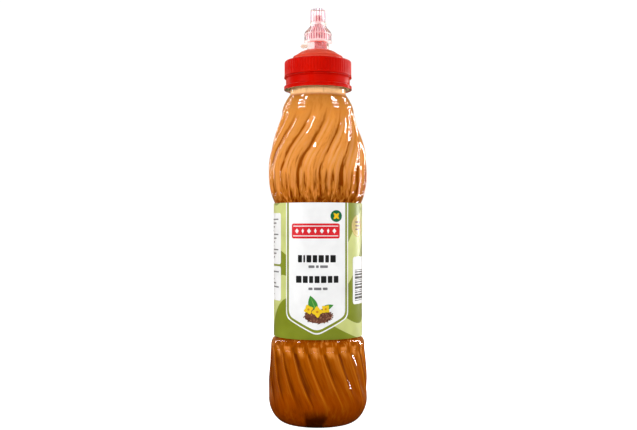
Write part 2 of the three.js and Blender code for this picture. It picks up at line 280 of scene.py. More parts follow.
    def open_to_lamps(self, shader: Socket, tint: Colour) -> Socket:
        """Lets the light of lamps straight through a clear plastic.

        Args:
            shader: Shader of the plastic.
            tint: Colour that the light takes on its way.

        Returns:
            The shader with its open way.
        """
        way = self.add("BsdfTransparent", {"Color": tint}).outputs[0]
        return self.join("MixShader", shader, way, self.add("LightPath").outputs["Is Shadow Ray"])

    def finish(self, shader: Socket) -> Any:
        """Joins the shader to the output.

        Args:
            shader: The whole shader.

        Returns:
            The finished material or surround.
        """
        kind = "OutputMaterial" if isinstance(self.owner, Material) else "OutputWorld"
        self.add(kind, {"Surface": shader})
        return self.owner


@dataclass(frozen=True)
class MustardFinish:
    """Moist mustard paste, with painted light and shade: pale at the neck and brown towards the base for
    light that falls from above, darker along one side of each flute as painted shade and paler along the
    other as a painted highlight, and a painted shadow in the foot.

    The three sets of colours run up its height. Scales are in waves a metre and lengths in metres.
    """

    name: str = "mustard_paste"
    roughness: float = 0.42
    height: float = 0.21
    # The paste's own colour with painted light and shade on top: it runs from pale at the neck to brown at
    # the base for light that falls from above, and the dip at 0.952 is a painted shadow line at the foot of
    # the neck.
    body: Stops = (
        (0.00, tone(133, 52, 0)),
        (0.08, tone(151, 69, 1)),
        (0.22, tone(169, 89, 4)),
        (0.25, tone(150, 72, 2)),
        (0.645, tone(146, 74, 6)),
        (0.68, tone(188, 116, 38)),
        (0.73, tone(213, 145, 67)),
        (0.80, tone(209, 142, 66)),
        (0.90, tone(204, 138, 61)),
        (0.945, tone(186, 124, 52)),
        (0.952, tone(160, 96, 30)),
        (0.96, tone(250, 208, 156)),
    )
    # Painted shade: colours of the side of each flute that is made to look shaded.
    shaded: Stops = (
        (0.00, tone(88, 27, 0)),
        (0.22, tone(108, 46, 0)),
        (0.64, tone(104, 40, 0)),
        (0.72, tone(136, 64, 3)),
        (0.94, tone(156, 88, 20)),
    )
    # Painted highlight: colours of the side of each flute that is made to look lit, and of the arches at the
    # tops of the scoops.
    pale: Stops = (
        (0.00, tone(172, 92, 6)),
        (0.19, tone(192, 116, 30)),
        (0.235, tone(232, 156, 72)),
        (0.64, tone(210, 132, 50)),
        (0.76, tone(216, 158, 94)),
        (0.94, tone(206, 150, 86)),
    )
    strand_scale: float = 520
    strand_swing: float = 0.8
    thread_scale: float = 1100
    thread_swing: float = 0.45
    patch_scale: float = 42
    patch_swing: float = 0.2
    grain_scale: float = 900
    grain_share: float = 0.3
    relief_depth: float = 0.0006
    # Painted shade: a dark patch at the front of the foot, where the thick base lies in shade.
    foot_shade_colour: Colour = tone(50, 10, 0)
    foot_shade_strength: float = 0.85
    foot_shade_middle: float = -0.0018
    foot_shade_side: Point = (0.0072, 0.0048)
    foot_shade_top: Point = (0.0125, 0.007)
    foot_shade_front: Point = (-0.004, -0.01)
    foot_shade_wander: float = 0.006
    foot_shade_scale: float = 160

    def build(self) -> Material:
        """Makes the material.

        Returns:
            The material, coloured by height, by the shade that the mesh carries and by fine streaks.
        """
        bench = NodeBench(bpy.data.materials.new(self.name))
        x, y, z = bench.axes()
        level = bench.math("DIVIDE", z, self.height)
        strands = bench.noise(self.strand_scale, 2.0, (1.0, 1.0, 0.06), 0.2, flowing=True)
        patches = bench.noise(self.patch_scale, 3.0, (1.0, 1.0, 0.5), 0.3)
        shade = bench.math("ADD", bench.carried("shade"), self.streaks(bench, level, strands))
        shade = bench.math("ADD", shade, bench.vary(patches, -self.patch_swing, self.patch_swing))
        # Painted light and shade: below 0 the shade mixes in the painted shade colours, above 0 the painted
        # highlight colours.
        painted_shade_share = bench.span(shade, -0.1, -1.1)
        colour = bench.mix(painted_shade_share, bench.ramp(level, self.body), bench.ramp(level, self.shaded))
        colour = bench.mix(bench.span(shade, 0.1, 1.15), colour, bench.ramp(level, self.pale))
        # Painted shade at the front of the foot.
        colour = bench.mix(self.painted_foot_shade(bench, x, y, z), colour, self.foot_shade_colour)
        grain = bench.math("MULTIPLY", bench.noise(self.grain_scale, 3.0), self.grain_share)
        shader = bench.add("BsdfPrincipled", {
            "Base Color": colour,
            "Roughness": bench.vary(patches, self.roughness - 0.06, self.roughness + 0.08),
            "Normal": bench.relief(bench.math("ADD", grain, strands), 0.3, self.relief_depth),
            "Specular IOR Level": 0.0,
        })
        return bench.finish(shader.outputs[0])

    def streaks(self, bench: NodeBench, level: Socket, strands: Socket) -> Socket:
        """Dark and pale streaks along the flutes, weaker at the neck and the foot.

        Args:
            bench: The material's bench.
            level: Height as a share of the whole.
            strands: Noise of the broad streaks.

        Returns:
            What the streaks add to the shade.
        """
        threads = bench.noise(self.thread_scale, 2.0, (1.0, 1.0, 0.1), 0.1, flowing=True)
        broad = bench.span(strands, 0.38, 0.62, -self.strand_swing, self.strand_swing)
        fine = bench.span(threads, 0.36, 0.64, -self.thread_swing, self.thread_swing)
        drawn = bench.math("MULTIPLY", bench.span(level, 0.86, 0.7, 0.25), bench.span(level, 0.2, 0.5, 0.35))
        return bench.math("MULTIPLY", bench.math("ADD", broad, fine), drawn)

    def painted_foot_shade(self, bench: NodeBench, x: Socket, y: Socket, z: Socket) -> Socket:
        """Share of the painted shade, a dark patch in the thick foot at the front.

        Args:
            bench: The material's bench.
            x: Place to the right.
            y: Place to the back.
            z: Height.

        Returns:
            The share's socket.
        """
        wander = bench.math("SUBTRACT", bench.noise(self.foot_shade_scale, 3.0), 0.5)
        wander = bench.math("MULTIPLY", wander, self.foot_shade_wander)
        aside = bench.math("ADD", bench.math("SUBTRACT", x, self.foot_shade_middle), wander)
        side = bench.span(bench.math("ABSOLUTE", aside), *self.foot_shade_side)
        top = bench.span(bench.math("ADD", z, wander), *self.foot_shade_top)
        front = bench.math("MULTIPLY", bench.math("MULTIPLY", side, top), bench.span(y, *self.foot_shade_front))
        return bench.math("MULTIPLY", front, self.foot_shade_strength)


@dataclass(frozen=True)
class ClearPlasticFinish:
    """Clear moulded plastic with faint flow lines, and small dimples on its right side."""

    name: str
    tint: Colour
    roughness: float = 0.03
    bend: float = 1.52
    waviness: float = 0.14
    wave_scale: float = 160
    dimple_scale: float = 520
    dimple_side: Point = (0.002, 0.022)
    dimple_share: float = 3.0

    def build(self) -> Material:
        """Makes the material.

        Returns:
            The material, which lets lamps through to what is behind it.
        """
        bench = NodeBench(bpy.data.materials.new(self.name))
        dimples = bench.noise(self.dimple_scale, 1.0, (1.0, 1.0, 0.4))
        share = bench.span(bench.axes()[0], *self.dimple_side, 0.0, self.dimple_share)
        flow = bench.noise(self.wave_scale, 3.0, (1.0, 1.0, 0.4), 0.4)
        height = bench.math("ADD", flow, bench.math("MULTIPLY", dimples, share))
        glass = bench.add("BsdfPrincipled", {
            "Base Color": self.tint,
            "Roughness": bench.vary(bench.noise(60), self.roughness * 0.6, self.roughness * 1.5),
            "Normal": bench.relief(height, self.waviness, 0.0005),
            "Transmission Weight": 1.0,
            "IOR": self.bend,
        })
        return bench.finish(bench.open_to_lamps(glass.outputs[0], self.tint))


@dataclass(frozen=True)
class HazyPlasticFinish:
    """Thin clear plastic that is milky where its mesh is shaded and see-through where it isn't."""

    name: str = "hazy_cap_plastic"
    clear_tint: Colour = (0.34, 0.16, 0.26, 1.0)
    milky: Colour = (1.0, 0.985, 0.985, 1.0)
    lamp_tint: Colour = (0.85, 0.8, 0.8, 1.0)
    roughness: float = 0.1
    bend: float = 1.07
    least_clear: float = 0.56

    def build(self) -> Material:
        """Makes the material.

        Returns:
            The material, which lets lamps through.
        """
        bench = NodeBench(bpy.data.materials.new(self.name))
        mottle = bench.noise(500, 3.0, (1.0, 1.0, 0.5))
        haze = bench.math("ADD", bench.carried("shade"), bench.vary(mottle, -0.1, 0.1))
        glass = bench.add("BsdfPrincipled", {
            "Base Color": bench.mix(bench.span(haze, 0.2, 0.9), self.clear_tint, self.milky),
            "Roughness": bench.vary(mottle, self.roughness * 0.7, self.roughness * 1.4),
            "Normal": bench.relief(mottle, 0.05, 0.0002),
            "Transmission Weight": bench.span(haze, 0.4, 1.0, 1.0, self.least_clear),
            "IOR": self.bend,
        })
        return bench.finish(bench.open_to_lamps(glass.outputs[0], self.lamp_tint))


@dataclass(frozen=True)
class RedPlasticFinish:
    """Moulded red plastic with a satin gloss, and painted light that makes the dome paler, as if lit from
    above.
    """

    name: str = "red_moulded_plastic"
    base: Colour = tone(214, 16, 0)
    deep: Colour = tone(186, 6, 0)
    # Painted light: the dome is mixed towards a paler red between the heights in dome, as if lit from above.
    painted_dome_light: Colour = tone(240, 96, 70)
    painted_dome_light_share: float = 0.75
    dome: Point = (0.2226, 0.2236)
    roughness: float = 0.26
    gloss: float = 0.06

    def build(self) -> Material:
        """Makes the material.

        Returns:
            The material, with a faint flow mottle, a fine moulded grain and painted light on the dome.
        """
        bench = NodeBench(bpy.data.materials.new(self.name))
        mottle = bench.noise(90, 4.0, (1.0, 1.0, 0.5))
        colour = bench.mix(bench.span(mottle, 0.35, 0.7, 0.0, 0.6), self.base, self.deep)
        # Painted light on the dome.
        paler = bench.span(bench.axes()[2], *self.dome, 0.0, self.painted_dome_light_share)
        shader = bench.add("BsdfPrincipled", {
            "Base Color": bench.mix(paler, colour, self.painted_dome_light),
            "Roughness": bench.vary(mottle, self.roughness - 0.05, self.roughness + 0.1),
            "Normal": bench.relief(bench.noise(2200), 0.12, 0.0002),
            "Specular IOR Level": self.gloss,
        })
        return bench.finish(shader.outputs[0])


@dataclass(frozen=True)
class InkFinish:
    """One ink of the label, printed on satin film."""

    name: str
    colour: Colour
    roughness: float = 0.38

    def build(self) -> Material:
        """Makes the material.

        Returns:
            The material, with the slight unevenness of print on film.
        """
        bench = NodeBench(bpy.data.materials.new(self.name))
        cloud = bench.noise(70, 3.0)
        paler = tuple(min(1.0, c * 1.1 + 0.004) for c in self.colour[:3]) + (1.0,)
        deeper = tuple(c * 0.9 for c in self.colour[:3]) + (1.0,)
        shader = bench.add("BsdfPrincipled", {
            "Base Color": bench.mix(bench.vary(cloud), deeper, paler),
            "Roughness": bench.vary(cloud, self.roughness - 0.04, self.roughness + 0.06),
            "Normal": bench.relief(bench.noise(3000), 0.05, 0.0001),
        })
        return bench.finish(shader.outputs[0])


class Ink(Enum):
    """Inks of the label."""

    DARK_GREEN = InkFinish("ink_dark_green", tone(134, 145, 26))
    LIGHT_GREEN = InkFinish("ink_light_green", tone(206, 212, 128))
    WHITE = InkFinish("ink_white", tone(252, 252, 252))
    RED = InkFinish("ink_red", tone(222, 24, 38))
    BLACK = InkFinish("ink_black", tone(28, 28, 28))
    GREY = InkFinish("ink_grey", tone(120, 120, 122))
    LEAF = InkFinish("ink_leaf", tone(62, 146, 52))
    LEAF_PALE = InkFinish("ink_leaf_pale", tone(120, 184, 84))
    YELLOW = InkFinish("ink_yellow", tone(250, 205, 20))
    AMBER = InkFinish("ink_amber", tone(214, 142, 10))
    BROWN = InkFinish("ink_brown", tone(112, 66, 48))
    DARK_BROWN = InkFinish("ink_dark_brown", tone(72, 40, 30))
    TAN = InkFinish("ink_tan", tone(166, 112, 86))
    DEEP_GREEN = InkFinish("ink_deep_green", tone(0, 106, 62))
    GOLD = InkFinish("ink_gold", tone(206, 182, 104), 0.3)
    PALE_GOLD = InkFinish("ink_pale_gold", tone(232, 216, 156), 0.3)


class TurnedMesh:
    """Rings of points round the bottle's axis, joined into one smooth skin.

    The first point of a ring stands at the front of the bottle, turned to the right by the ring's turn. Each
    point also holds where it would be without the turn, which its finish reads as "flow", and its shade,
    which the mustard's finish reads as painted light and shade and the caps' finish as haze.
    """

    def __init__(self, columns: int) -> None:
        """Starts an empty mesh.

        Args:
            columns: Number of points in each ring.
        """
        self.columns = columns
        self.steps = np.arange(columns)
        self.rings: list[np.ndarray] = []

    def ring(self, radius: Any, height: Any, turn: float = 0.0, shade: Any = 0.0) -> None:
        """Adds a ring.

        Args:
            radius: Radius in mm, one number or one for each point.
            height: Height in mm, one number or one for each point.
            turn: Turn of the ring's first point to the right, in degrees.
            shade: Shade of its points, for a finish that reads it.
        """
        plain = self.steps * 2 * math.pi / self.columns
        angle = plain + math.radians(turn)
        radius, height, shade = (np.broadcast_to(v, self.columns) for v in (radius, height, shade))
        place = [radius * np.sin(angle), -radius * np.cos(angle), height]
        flow = [radius * np.sin(plain), -radius * np.cos(plain), height]
        self.rings.append(np.stack([*place, *flow, shade], axis=1))

    def rings_of(self, profile: Iterable[Point], turn: float = 0.0, shade: Any = 0.0) -> None:
        """Adds a ring for each radius and height of a profile, all of one turn and shade."""
        for radius, height in profile:
            self.ring(radius, height, turn, shade)

    def faces(self, closes: bool) -> list[list[int]]:
        """Faces between the rings.

        Args:
            closes: True where the last ring joins the first one.

        Returns:
            The numbers of each face's points.
        """
        count = len(self.rings)
        after = (self.steps + 1) % self.columns
        faces = []
        for k in range(count if closes else count - 1):
            low, high = k * self.columns, (k + 1) % count * self.columns
            faces.append(np.stack([low + self.steps, low + after, high + after, high + self.steps], axis=1))
        return np.concatenate(faces).tolist()

    def build(self, name: str, closes: bool = False, crease: float = 40.0) -> Piece:
        """Makes the object.

        Args:
            name: Name of the object and its mesh.
            closes: True where the last ring joins the first one.
            crease: Angle in degrees above which an edge is shaded sharp.

        Returns:
            The new object, in metres.
        """
        places, flow, shade = np.split(np.concatenate(self.rings), [3, 6], axis=1)
        mesh = bpy.data.meshes.new(name)
        mesh.from_pydata((places * MM).tolist(), [], self.faces(closes))
        if shade.any():
            carried = mesh.attributes.new("flow", "FLOAT_VECTOR", "POINT")
            carried.data.foreach_set("vector", (flow * MM).astype(np.float32).ravel())
            carried = mesh.attributes.new("shade", "FLOAT", "POINT")
            carried.data.foreach_set("value", shade.astype(np.float32).ravel())
        build = bmesh.new()
        build.from_mesh(mesh)
        poles = [v for v in build.verts if math.hypot(v.co.x, v.co.y) < POLE_REACH]
        bmesh.ops.remove_doubles(build, verts=poles, dist=WELD_REACH)
        build.to_mesh(mesh)
        build.free()
        return smooth_object(name, mesh, crease)


def smooth_object(name: str, mesh: bpy.types.Mesh, crease: float) -> Piece:
    """Puts a mesh in the scene, shaded smooth but for its sharp edges.

    Args:
        name: Name of the object.
        mesh: Its mesh.
        crease: Angle in degrees above which an edge is shaded sharp.

    Returns:
        The new object.
    """
    mesh.polygons.foreach_set("use_smooth", [True] * len(mesh.polygons))
    mesh.set_sharp_from_angle(angle=math.radians(crease))
    piece = bpy.data.objects.new(name, mesh)
    bpy.context.scene.collection.objects.link(piece)
    return piece


def set_down(build: bmesh.types.BMesh, name: str) -> bpy.types.Mesh:
    """Writes a worked mesh out and frees it.

    Args:
        build: The worked mesh.
        name: Name of the new one.

    Returns:
        The new mesh.
    """
    mesh = bpy.data.meshes.new(name)
    build.to_mesh(mesh)
    build.free()
    return mesh


def soften(profile: list[Point], fillet: float, steps: int = 3, closed: bool = False) -> list[Point]:
    """Rounds the corners of a profile.

    Args:
        profile: Radius and height of each corner.
        fillet: Reach of the rounding along each side, in mm.
        steps: Points of each rounded corner, less one.
        closed: True where the last point joins the first one.

    Returns:
        The rounded profile.
    """
    rounded: list[Point] = []
    count = len(profile)
    for k, corner in enumerate(profile):
        if not closed and k in (0, count - 1):
            rounded.append(corner)
            continue
        here = np.array(corner)
        before = np.array(profile[k - 1]) - here
        after = np.array(profile[(k + 1) % count]) - here
        reach_in = min(fillet, np.linalg.norm(before) * 0.45)
        reach_out = min(fillet, np.linalg.norm(after) * 0.45)
        start = here + before / np.linalg.norm(before) * reach_in
        end = here + after / np.linalg.norm(after) * reach_out
        for t in np.linspace(0, 1, steps + 1):
            spot = start * (1 - t) ** 2 + here * 2 * t * (1 - t) + end * t * t
            rounded.append((float(spot[0]), float(spot[1])))
    return rounded


def dress(piece: Piece, nodes: Iterable[str], slot: Slot, *materials: Material) -> Piece:
    """Gives a piece its materials and its body, and hides the CAD nodes that it stands for.

    Args:
        piece: The piece.
        nodes: CAD nodes that it replaces.
        slot: Its material slot in the record; not used.
        materials: Its materials in order.

    Returns:
        The piece.
    """
    for material in materials:
        piece.data.materials.append(material)
    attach(piece, "root")
    if nodes:
        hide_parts(*nodes)
    log.info("%s: %d faces", piece.name, len(piece.data.polygons))
    return piece


@dataclass
class FluteShades:
    """Painted shade and painted highlight on the mustard behind each part of a flute, with pale arches
    painted as highlights at the tops of the scoops.

    A band is its strength, its middle and its reach, the last two as shares of the flute's width. A pair of
    numbers is a range of heights in mm over which a shade comes or goes, or a scoop's shade at its two sides.
    """

    scoop_rise: Point = (-0.45, 0.5)
    scoop: tuple[Triple, ...] = ((-0.4, 0.1, 0.09), (0.8, 0.93, 0.06))
    scoop_comes: Point = (10, 26)
    scoop_goes: Point = (44.0, 46.0)
    arch: tuple[Triple, ...] = ((2.0, 0.48, 0.3),)
    arch_floor: float = 0.6
    arch_comes: Point = (40.5, 45.0)
    arch_goes: Point = (48.4, 49.4)
    broad: tuple[Triple, ...] = ((1.3, 0.68, 0.08), (0.5, 0.9, 0.07), (-1.4, 0.42, 0.08), (-0.6, 0.79, 0.04))
    fine: tuple[Triple, ...] = ((0.9, 0.56, 0.06), (0.7, 0.8, 0.06), (0.5, 0.12, 0.08), (-1.3, 0.38, 0.08),
                                (-0.8, 0.95, 0.05), (-0.6, 0.69, 0.04))
    wave_comes: Point = (136.5, 141)
    wave_goes: Point = (178, 193)
    fine_goes: Point = (150, 160)

    def bands(self, share: np.ndarray, bands: tuple[Triple, ...]) -> np.ndarray:
        """Sum of soft bands at each share of a flute's width."""
        away = [np.abs((share - middle + 0.5) % 1 - 0.5) / reach for _, middle, reach in bands]
        return sum(band[0] * np.exp(-(distance**2)) for band, distance in zip(bands, away))

    def scoops(self, z: float, share: np.ndarray) -> np.ndarray:
        """Shade behind the scoops under the label.

        Args:
            z: Height in mm.
            share: Place across the flute for each column.

        Returns:
            Shade for each column.
        """
        rise = blend(*self.scoop_rise, share**1.5) + self.bands(share, self.scoop)
        ends = ease(z, *self.scoop_comes) * (1 - ease(z, *self.scoop_goes))
        arch = ease(z, *self.arch_comes) * (1 - ease(z, *self.arch_goes))
        return rise * ends + arch * (self.bands(share, self.arch) - self.arch_floor)

    def waves(self, z: float, share: np.ndarray) -> np.ndarray:
        """Shade behind the waves over the label.

        Args:
            z: Height in mm.
            share: Place across the flute for each column.

        Returns:
            Shade for each column.
        """
        ends = ease(z, *self.wave_comes) * (1 - ease(z, *self.wave_goes))
        fine, broad = self.bands(share, self.fine), self.bands(share, self.broad)
        return blend(fine, broad, ease(z, *self.fine_goes)) * ends


@dataclass
class BottleShape:
    """Outer form of the bottle: heights and radii in mm, and its two sets of flutes.

    The scoops are the flutes under the label and the waves those over it. A pair of numbers is a range of
    heights over which a form comes or goes.
    """

    columns: int = 280
    widest: float = 30.42
    contact_inner: float = 16.5
    contact_outer: float = 20.0
    base_rise: float = 6.0
    base_rise_radius: float = 12.0
    corner_width: float = 10.4
    corner_height: float = 14.5
    corner_power: float = 1.8
    belly_radius: float = 30.6
    belly_middle: float = 19.0
    belly_top: float = 46.3
    belly_top_radius: float = 29.1
    belly_power: float = 1.6
    waist_radius: float = 26.8
    waist_bottom: float = 52.4
    waist_top: float = 135.2
    chest_radius: float = 30.5
    chest_middle: float = 156.4
    chest_power: float = 2.8
    shoulder_power: float = 1.25
    collar_radius: float = 22.2
    collar_bottom: float = 191.0
    collar_power: float = 1.6
    neck_radius: float = 17.2
    neck_bottom: float = 202.0
    scoop_count: int = 20
    scoop_depth: float = 1.3
    scoop_foot: float = 14.0
    scoop_top: float = 49.4
    scoop_arch: float = 3.0
    scoop_fade: float = 3.4
    scoop_comes: Point = (14, 24)
    scoop_turn: float = 4.9
    scoop_swirl: float = 25.0
    swirl_power: float = 1.3
    wave_count: int = 14
    wave_depth: float = 1.6
    wave_edge: float = 0.35
    fine_wave_depth: float = 1.1
    wave_comes: Point = (138.8, 141.8)
    wave_goes: Point = (184, 193)
    fine_goes: Point = (151, 161)
    wave_turn: float = -7.5
    wave_swirl: float = 38.0
    wave_swirls: Point = (152, 196)
    step_heights: tuple[float, ...] = (192.2, 194.5, 196.4, 198.9)
    step_half: float = 0.32
    step_slope: float = 0.727
    step_lead: float = 0.9
    step_tail: float = 1.1
    corner_rings: int = 21
    stretch_rings: tuple[int, ...] = (53, 8, 84, 60)
    dense_bottom: float = 191.4
    shades: FluteShades = field(default_factory=FluteShades)

    def radius(self, z: float) -> float:
        """Radius over the ridges.

        Args:
            z: Height in mm.

        Returns:
            Radius in mm.
        """
        if z <= self.corner_height:
            drop = (1 - z / self.corner_height) ** self.corner_power
            return self.contact_outer + self.corner_width * (1 - drop) ** (1 / self.corner_power)
        if z <= self.belly_middle:
            share = ease(z, self.corner_height, self.belly_middle)
            return blend(self.contact_outer + self.corner_width, self.belly_radius, share)
        if z <= self.belly_top:
            t = (z - self.belly_middle) / (self.belly_top - self.belly_middle)
            return blend(self.belly_radius, self.belly_top_radius, t**self.belly_power)
        if z <= self.waist_bottom:
            t = (z - self.belly_top) / (self.waist_bottom - self.belly_top)
            return blend(self.belly_top_radius, self.waist_radius, 1 - math.sqrt(1 - t * t))
        if z <= self.waist_top:
            return self.waist_radius
        if z <= self.chest_middle:
            t = (z - self.waist_top) / (self.chest_middle - self.waist_top)
            return blend(self.chest_radius, self.waist_radius, (1 - t) ** self.chest_power)
        if z <= self.collar_bottom:
            t = (self.collar_bottom - z) / (self.collar_bottom - self.chest_middle)
            share = math.sin(t * math.pi / 2) ** self.shoulder_power
            return blend(self.collar_radius, self.chest_radius, share)
        t = max(0.0, (self.neck_bottom - z) / (self.neck_bottom - self.collar_bottom))
        return blend(self.collar_radius, self.neck_radius, (1 - t) ** self.collar_power)

    def step(self, z: float) -> float:
        """How far the collar's stepped rings stand off its plain curve.

        Args:
            z: Height in mm.

        Returns:
            Distance in mm, outwards.
        """
        low, high = self.step_heights[0] - self.step_lead, self.step_heights[-1] + self.step_tail
        if not low < z < high:
            return 0.0
        heights, radii = [low], [self.radius(low)]
        rise = self.step_half * self.step_slope
        for middle in self.step_heights:
            heights += [middle - self.step_half, middle + self.step_half]
            radii += [self.radius(middle) + rise, self.radius(middle) - rise]
        return float(np.interp(z, heights + [high], radii + [self.radius(high)])) - self.radius(z)

    def turn(self, z: float) -> float:
        """How far the flutes have turned to the right.

        Args:
            z: Height in mm.

        Returns:
            Turn in degrees, run straight on from one set of flutes to the other behind the label.
        """
        if z < self.waist_bottom:
            down = float(np.clip((self.scoop_top - z) / (self.scoop_top - self.scoop_foot), 0, 1))
            return self.scoop_turn + self.scoop_swirl * down**self.swirl_power
        if z < self.waist_top:
            up = (z - self.waist_bottom) / (self.waist_top - self.waist_bottom)
            return blend(self.scoop_turn, self.wave_turn, up)
        return self.wave_turn + self.wave_swirl * float(ease(z, *self.wave_swirls))

    def across(self, count: int) -> np.ndarray:
        """Place of each column across its flute, from 0 to 1, for that many flutes."""
        return (np.arange(self.columns) * count / self.columns) % 1

    def flutes(self, z: float) -> np.ndarray:
        """Depth of the flutes at each point of a ring.

        Args:
            z: Height in mm.

        Returns:
            Depth in mm for each column.
        """
        if z < self.waist_bottom:
            bow = (2 * self.across(self.scoop_count) - 1) ** 2
            top = self.scoop_top - self.scoop_arch * bow
            ends = ease(z, *self.scoop_comes) * (1 - ease((z - top) / self.scoop_fade, -1, 0))
            return self.scoop_depth * (1 - bow) * ends
        share = self.across(self.wave_count)
        rounded, pointed = (1 - np.cos(2 * math.pi * share)) / 2, 1 - np.abs(np.cos(math.pi * share))
        broad = self.wave_depth * blend(rounded, pointed, self.wave_edge)
        fine = self.fine_wave_depth * (1 - np.cos(4 * math.pi * share)) / 2
        ends = ease(z, *self.wave_comes) * (1 - ease(z, *self.wave_goes))
        return blend(fine, broad, ease(z, *self.fine_goes)) * ends

    def shade(self, z: float) -> np.ndarray:
        """Painted light and shade on the mustard at each point of a ring, below 0 where it is painted dark.

        Args:
            z: Height in mm.

        Returns:
            Shade for each column: painted shade behind one side of each flute and a painted highlight behind
                the other.
        """
        if z < self.waist_bottom:
            return self.shades.scoops(z, self.across(self.scoop_count))
        return self.shades.waves(z, self.across(self.wave_count))

    def heights(self, share: float) -> list[float]:
        """Heights of the rings from the contact ring to the foot of the neck.

        Args:
            share: Share of the full number of rings.

        Returns:
            The heights in mm, with both ends of each stretch of the form.
        """
        corner = np.linspace(0, 1, round(self.corner_rings * share) + 1) ** 2
        heights = [float(level) for level in self.corner_height * corner]
        ends = (self.waist_bottom, self.waist_top, self.dense_bottom, self.neck_bottom)
        for end, rings in zip(ends, self.stretch_rings):
            heights += list(np.linspace(heights[-1], end, round(rings * share) + 1))[1:]
        return heights

    def base(self) -> list[Point]:
        """Works out the underside.

        Returns:
            Radius and height of its rings, from its middle to the contact ring.
        """
        return [
            (0.0, self.base_rise), (self.base_rise_radius / 2, self.base_rise - 0.2),
            (self.base_rise_radius, self.base_rise - 1), (self.contact_inner - 1.9, 2.4),
            (self.contact_inner, 0.25), (self.contact_inner + 1.2, 0.0), (self.contact_outer - 0.6, 0.0),
        ]

    def skin(self, mesh: TurnedMesh, inset: float, share: float = 1.0) -> None:
        """Adds the rings of the fluted body, drawn in by an inset.

        Args:
            mesh: Mesh that takes the rings, from the base's middle up to the neck's foot.
            inset: How far the skin lies inside the outer face, in mm. Only the outer face itself has the
                collar's steps.
            share: Share of the full number of rings.
        """
        base, heights = self.base(), self.heights(share)
        profile = np.array(base + [(self.radius(z) + (0.0 if inset else self.step(z)), z) for z in heights])
        along = np.gradient(profile, axis=0)
        along /= np.linalg.norm(along, axis=1, keepdims=True)
        drawn = profile + inset * np.stack([-along[:, 1], along[:, 0]], axis=1)
        drawn[0] = (0.0, self.base_rise + inset)
        mesh.rings_of(drawn[:len(base)], self.turn(0))
        for (radius, height), level in zip(drawn[len(base):], heights):
            out = np.minimum(radius - self.flutes(level), self.widest - inset)
            # The shade of each ring is the painted light and shade that the mustard's finish reads.
            mesh.ring(out, height, self.turn(level), self.shade(level))


@dataclass
class Bottle:
    """The clear bottle: its fluted wall, neck, support ring and mouth."""

    shape: BottleShape = field(default_factory=BottleShape)
    wall: float = 0.6
    inner_rings: float = 0.4
    support_radius: float = 20.68
    support_bottom: float = 205.1
    support_thickness: float = 1.1
    support_slope: float = 0.2
    mouth_height: float = 221.3
    mouth_wall: float = 1.5
    fillet: float = 0.35
    finish: ClearPlasticFinish = ClearPlasticFinish("clear_bottle_plastic", (1.0, 0.98, 0.95, 1.0))

    def neck(self) -> list[Point]:
        """Works out the neck with its support ring.

        Returns:
            Radius and height of its rings, from its foot over the mouth and back down inside.
        """
        top = self.support_bottom + self.support_thickness
        foot, plain = self.shape.neck_bottom, self.shape.neck_radius
        return soften([
            (plain, foot + 0.3), (plain, self.support_bottom - 0.5),
            (self.support_radius, self.support_bottom), (self.support_radius, top - self.support_slope),
            (plain, top + self.support_slope),
            (plain, self.mouth_height), (plain - self.mouth_wall, self.mouth_height),
            (plain - self.mouth_wall, foot),
        ], self.fillet)

    def build(self) -> Piece:
        """Makes the wall.

        Returns:
            The piece, a closed shell.
        """
        shape = self.shape
        mesh, inside = TurnedMesh(shape.columns), TurnedMesh(shape.columns)
        shape.skin(mesh, 0.0)
        mesh.rings_of(self.neck(), shape.turn(shape.neck_bottom))
        shape.skin(inside, self.wall, self.inner_rings)
        mesh.rings += inside.rings[::-1]
        return dress(mesh.build("bottle_wall"), ["bottle"], Slot.CLEAR_BOTTLE, self.finish.build())


@dataclass
class Mustard:
    """The mustard, which fills the bottle and reaches just into its wall."""

    shape: BottleShape = field(default_factory=BottleShape)
    inset: float = 0.48
    level: float = 208.5
    edge: float = 0.6
    hollow_radius: float = 8.0
    finish: MustardFinish = MustardFinish()

    def top(self) -> list[Point]:
        """Works out the filling in the neck, which has a slightly hollow top.

        Returns:
            Radius and height of its rings.
        """
        neck = self.shape.neck_radius - self.inset
        return [(neck, self.shape.neck_bottom + 1), (neck, self.level - self.edge),
                (neck - self.edge, self.level), (self.hollow_radius, self.level - 0.3),
                (0.0, self.level - 0.4)]

    def build(self) -> Piece:
        """Makes the filling.

        Returns:
            The piece, a closed solid.
        """
        shape = self.shape
        mesh = TurnedMesh(shape.columns)
        shape.skin(mesh, self.inset)
        mesh.rings_of(self.top(), shape.turn(shape.neck_bottom))
        return dress(mesh.build("mustard_filling"), ["mustard"], Slot.MUSTARD, self.finish.build())


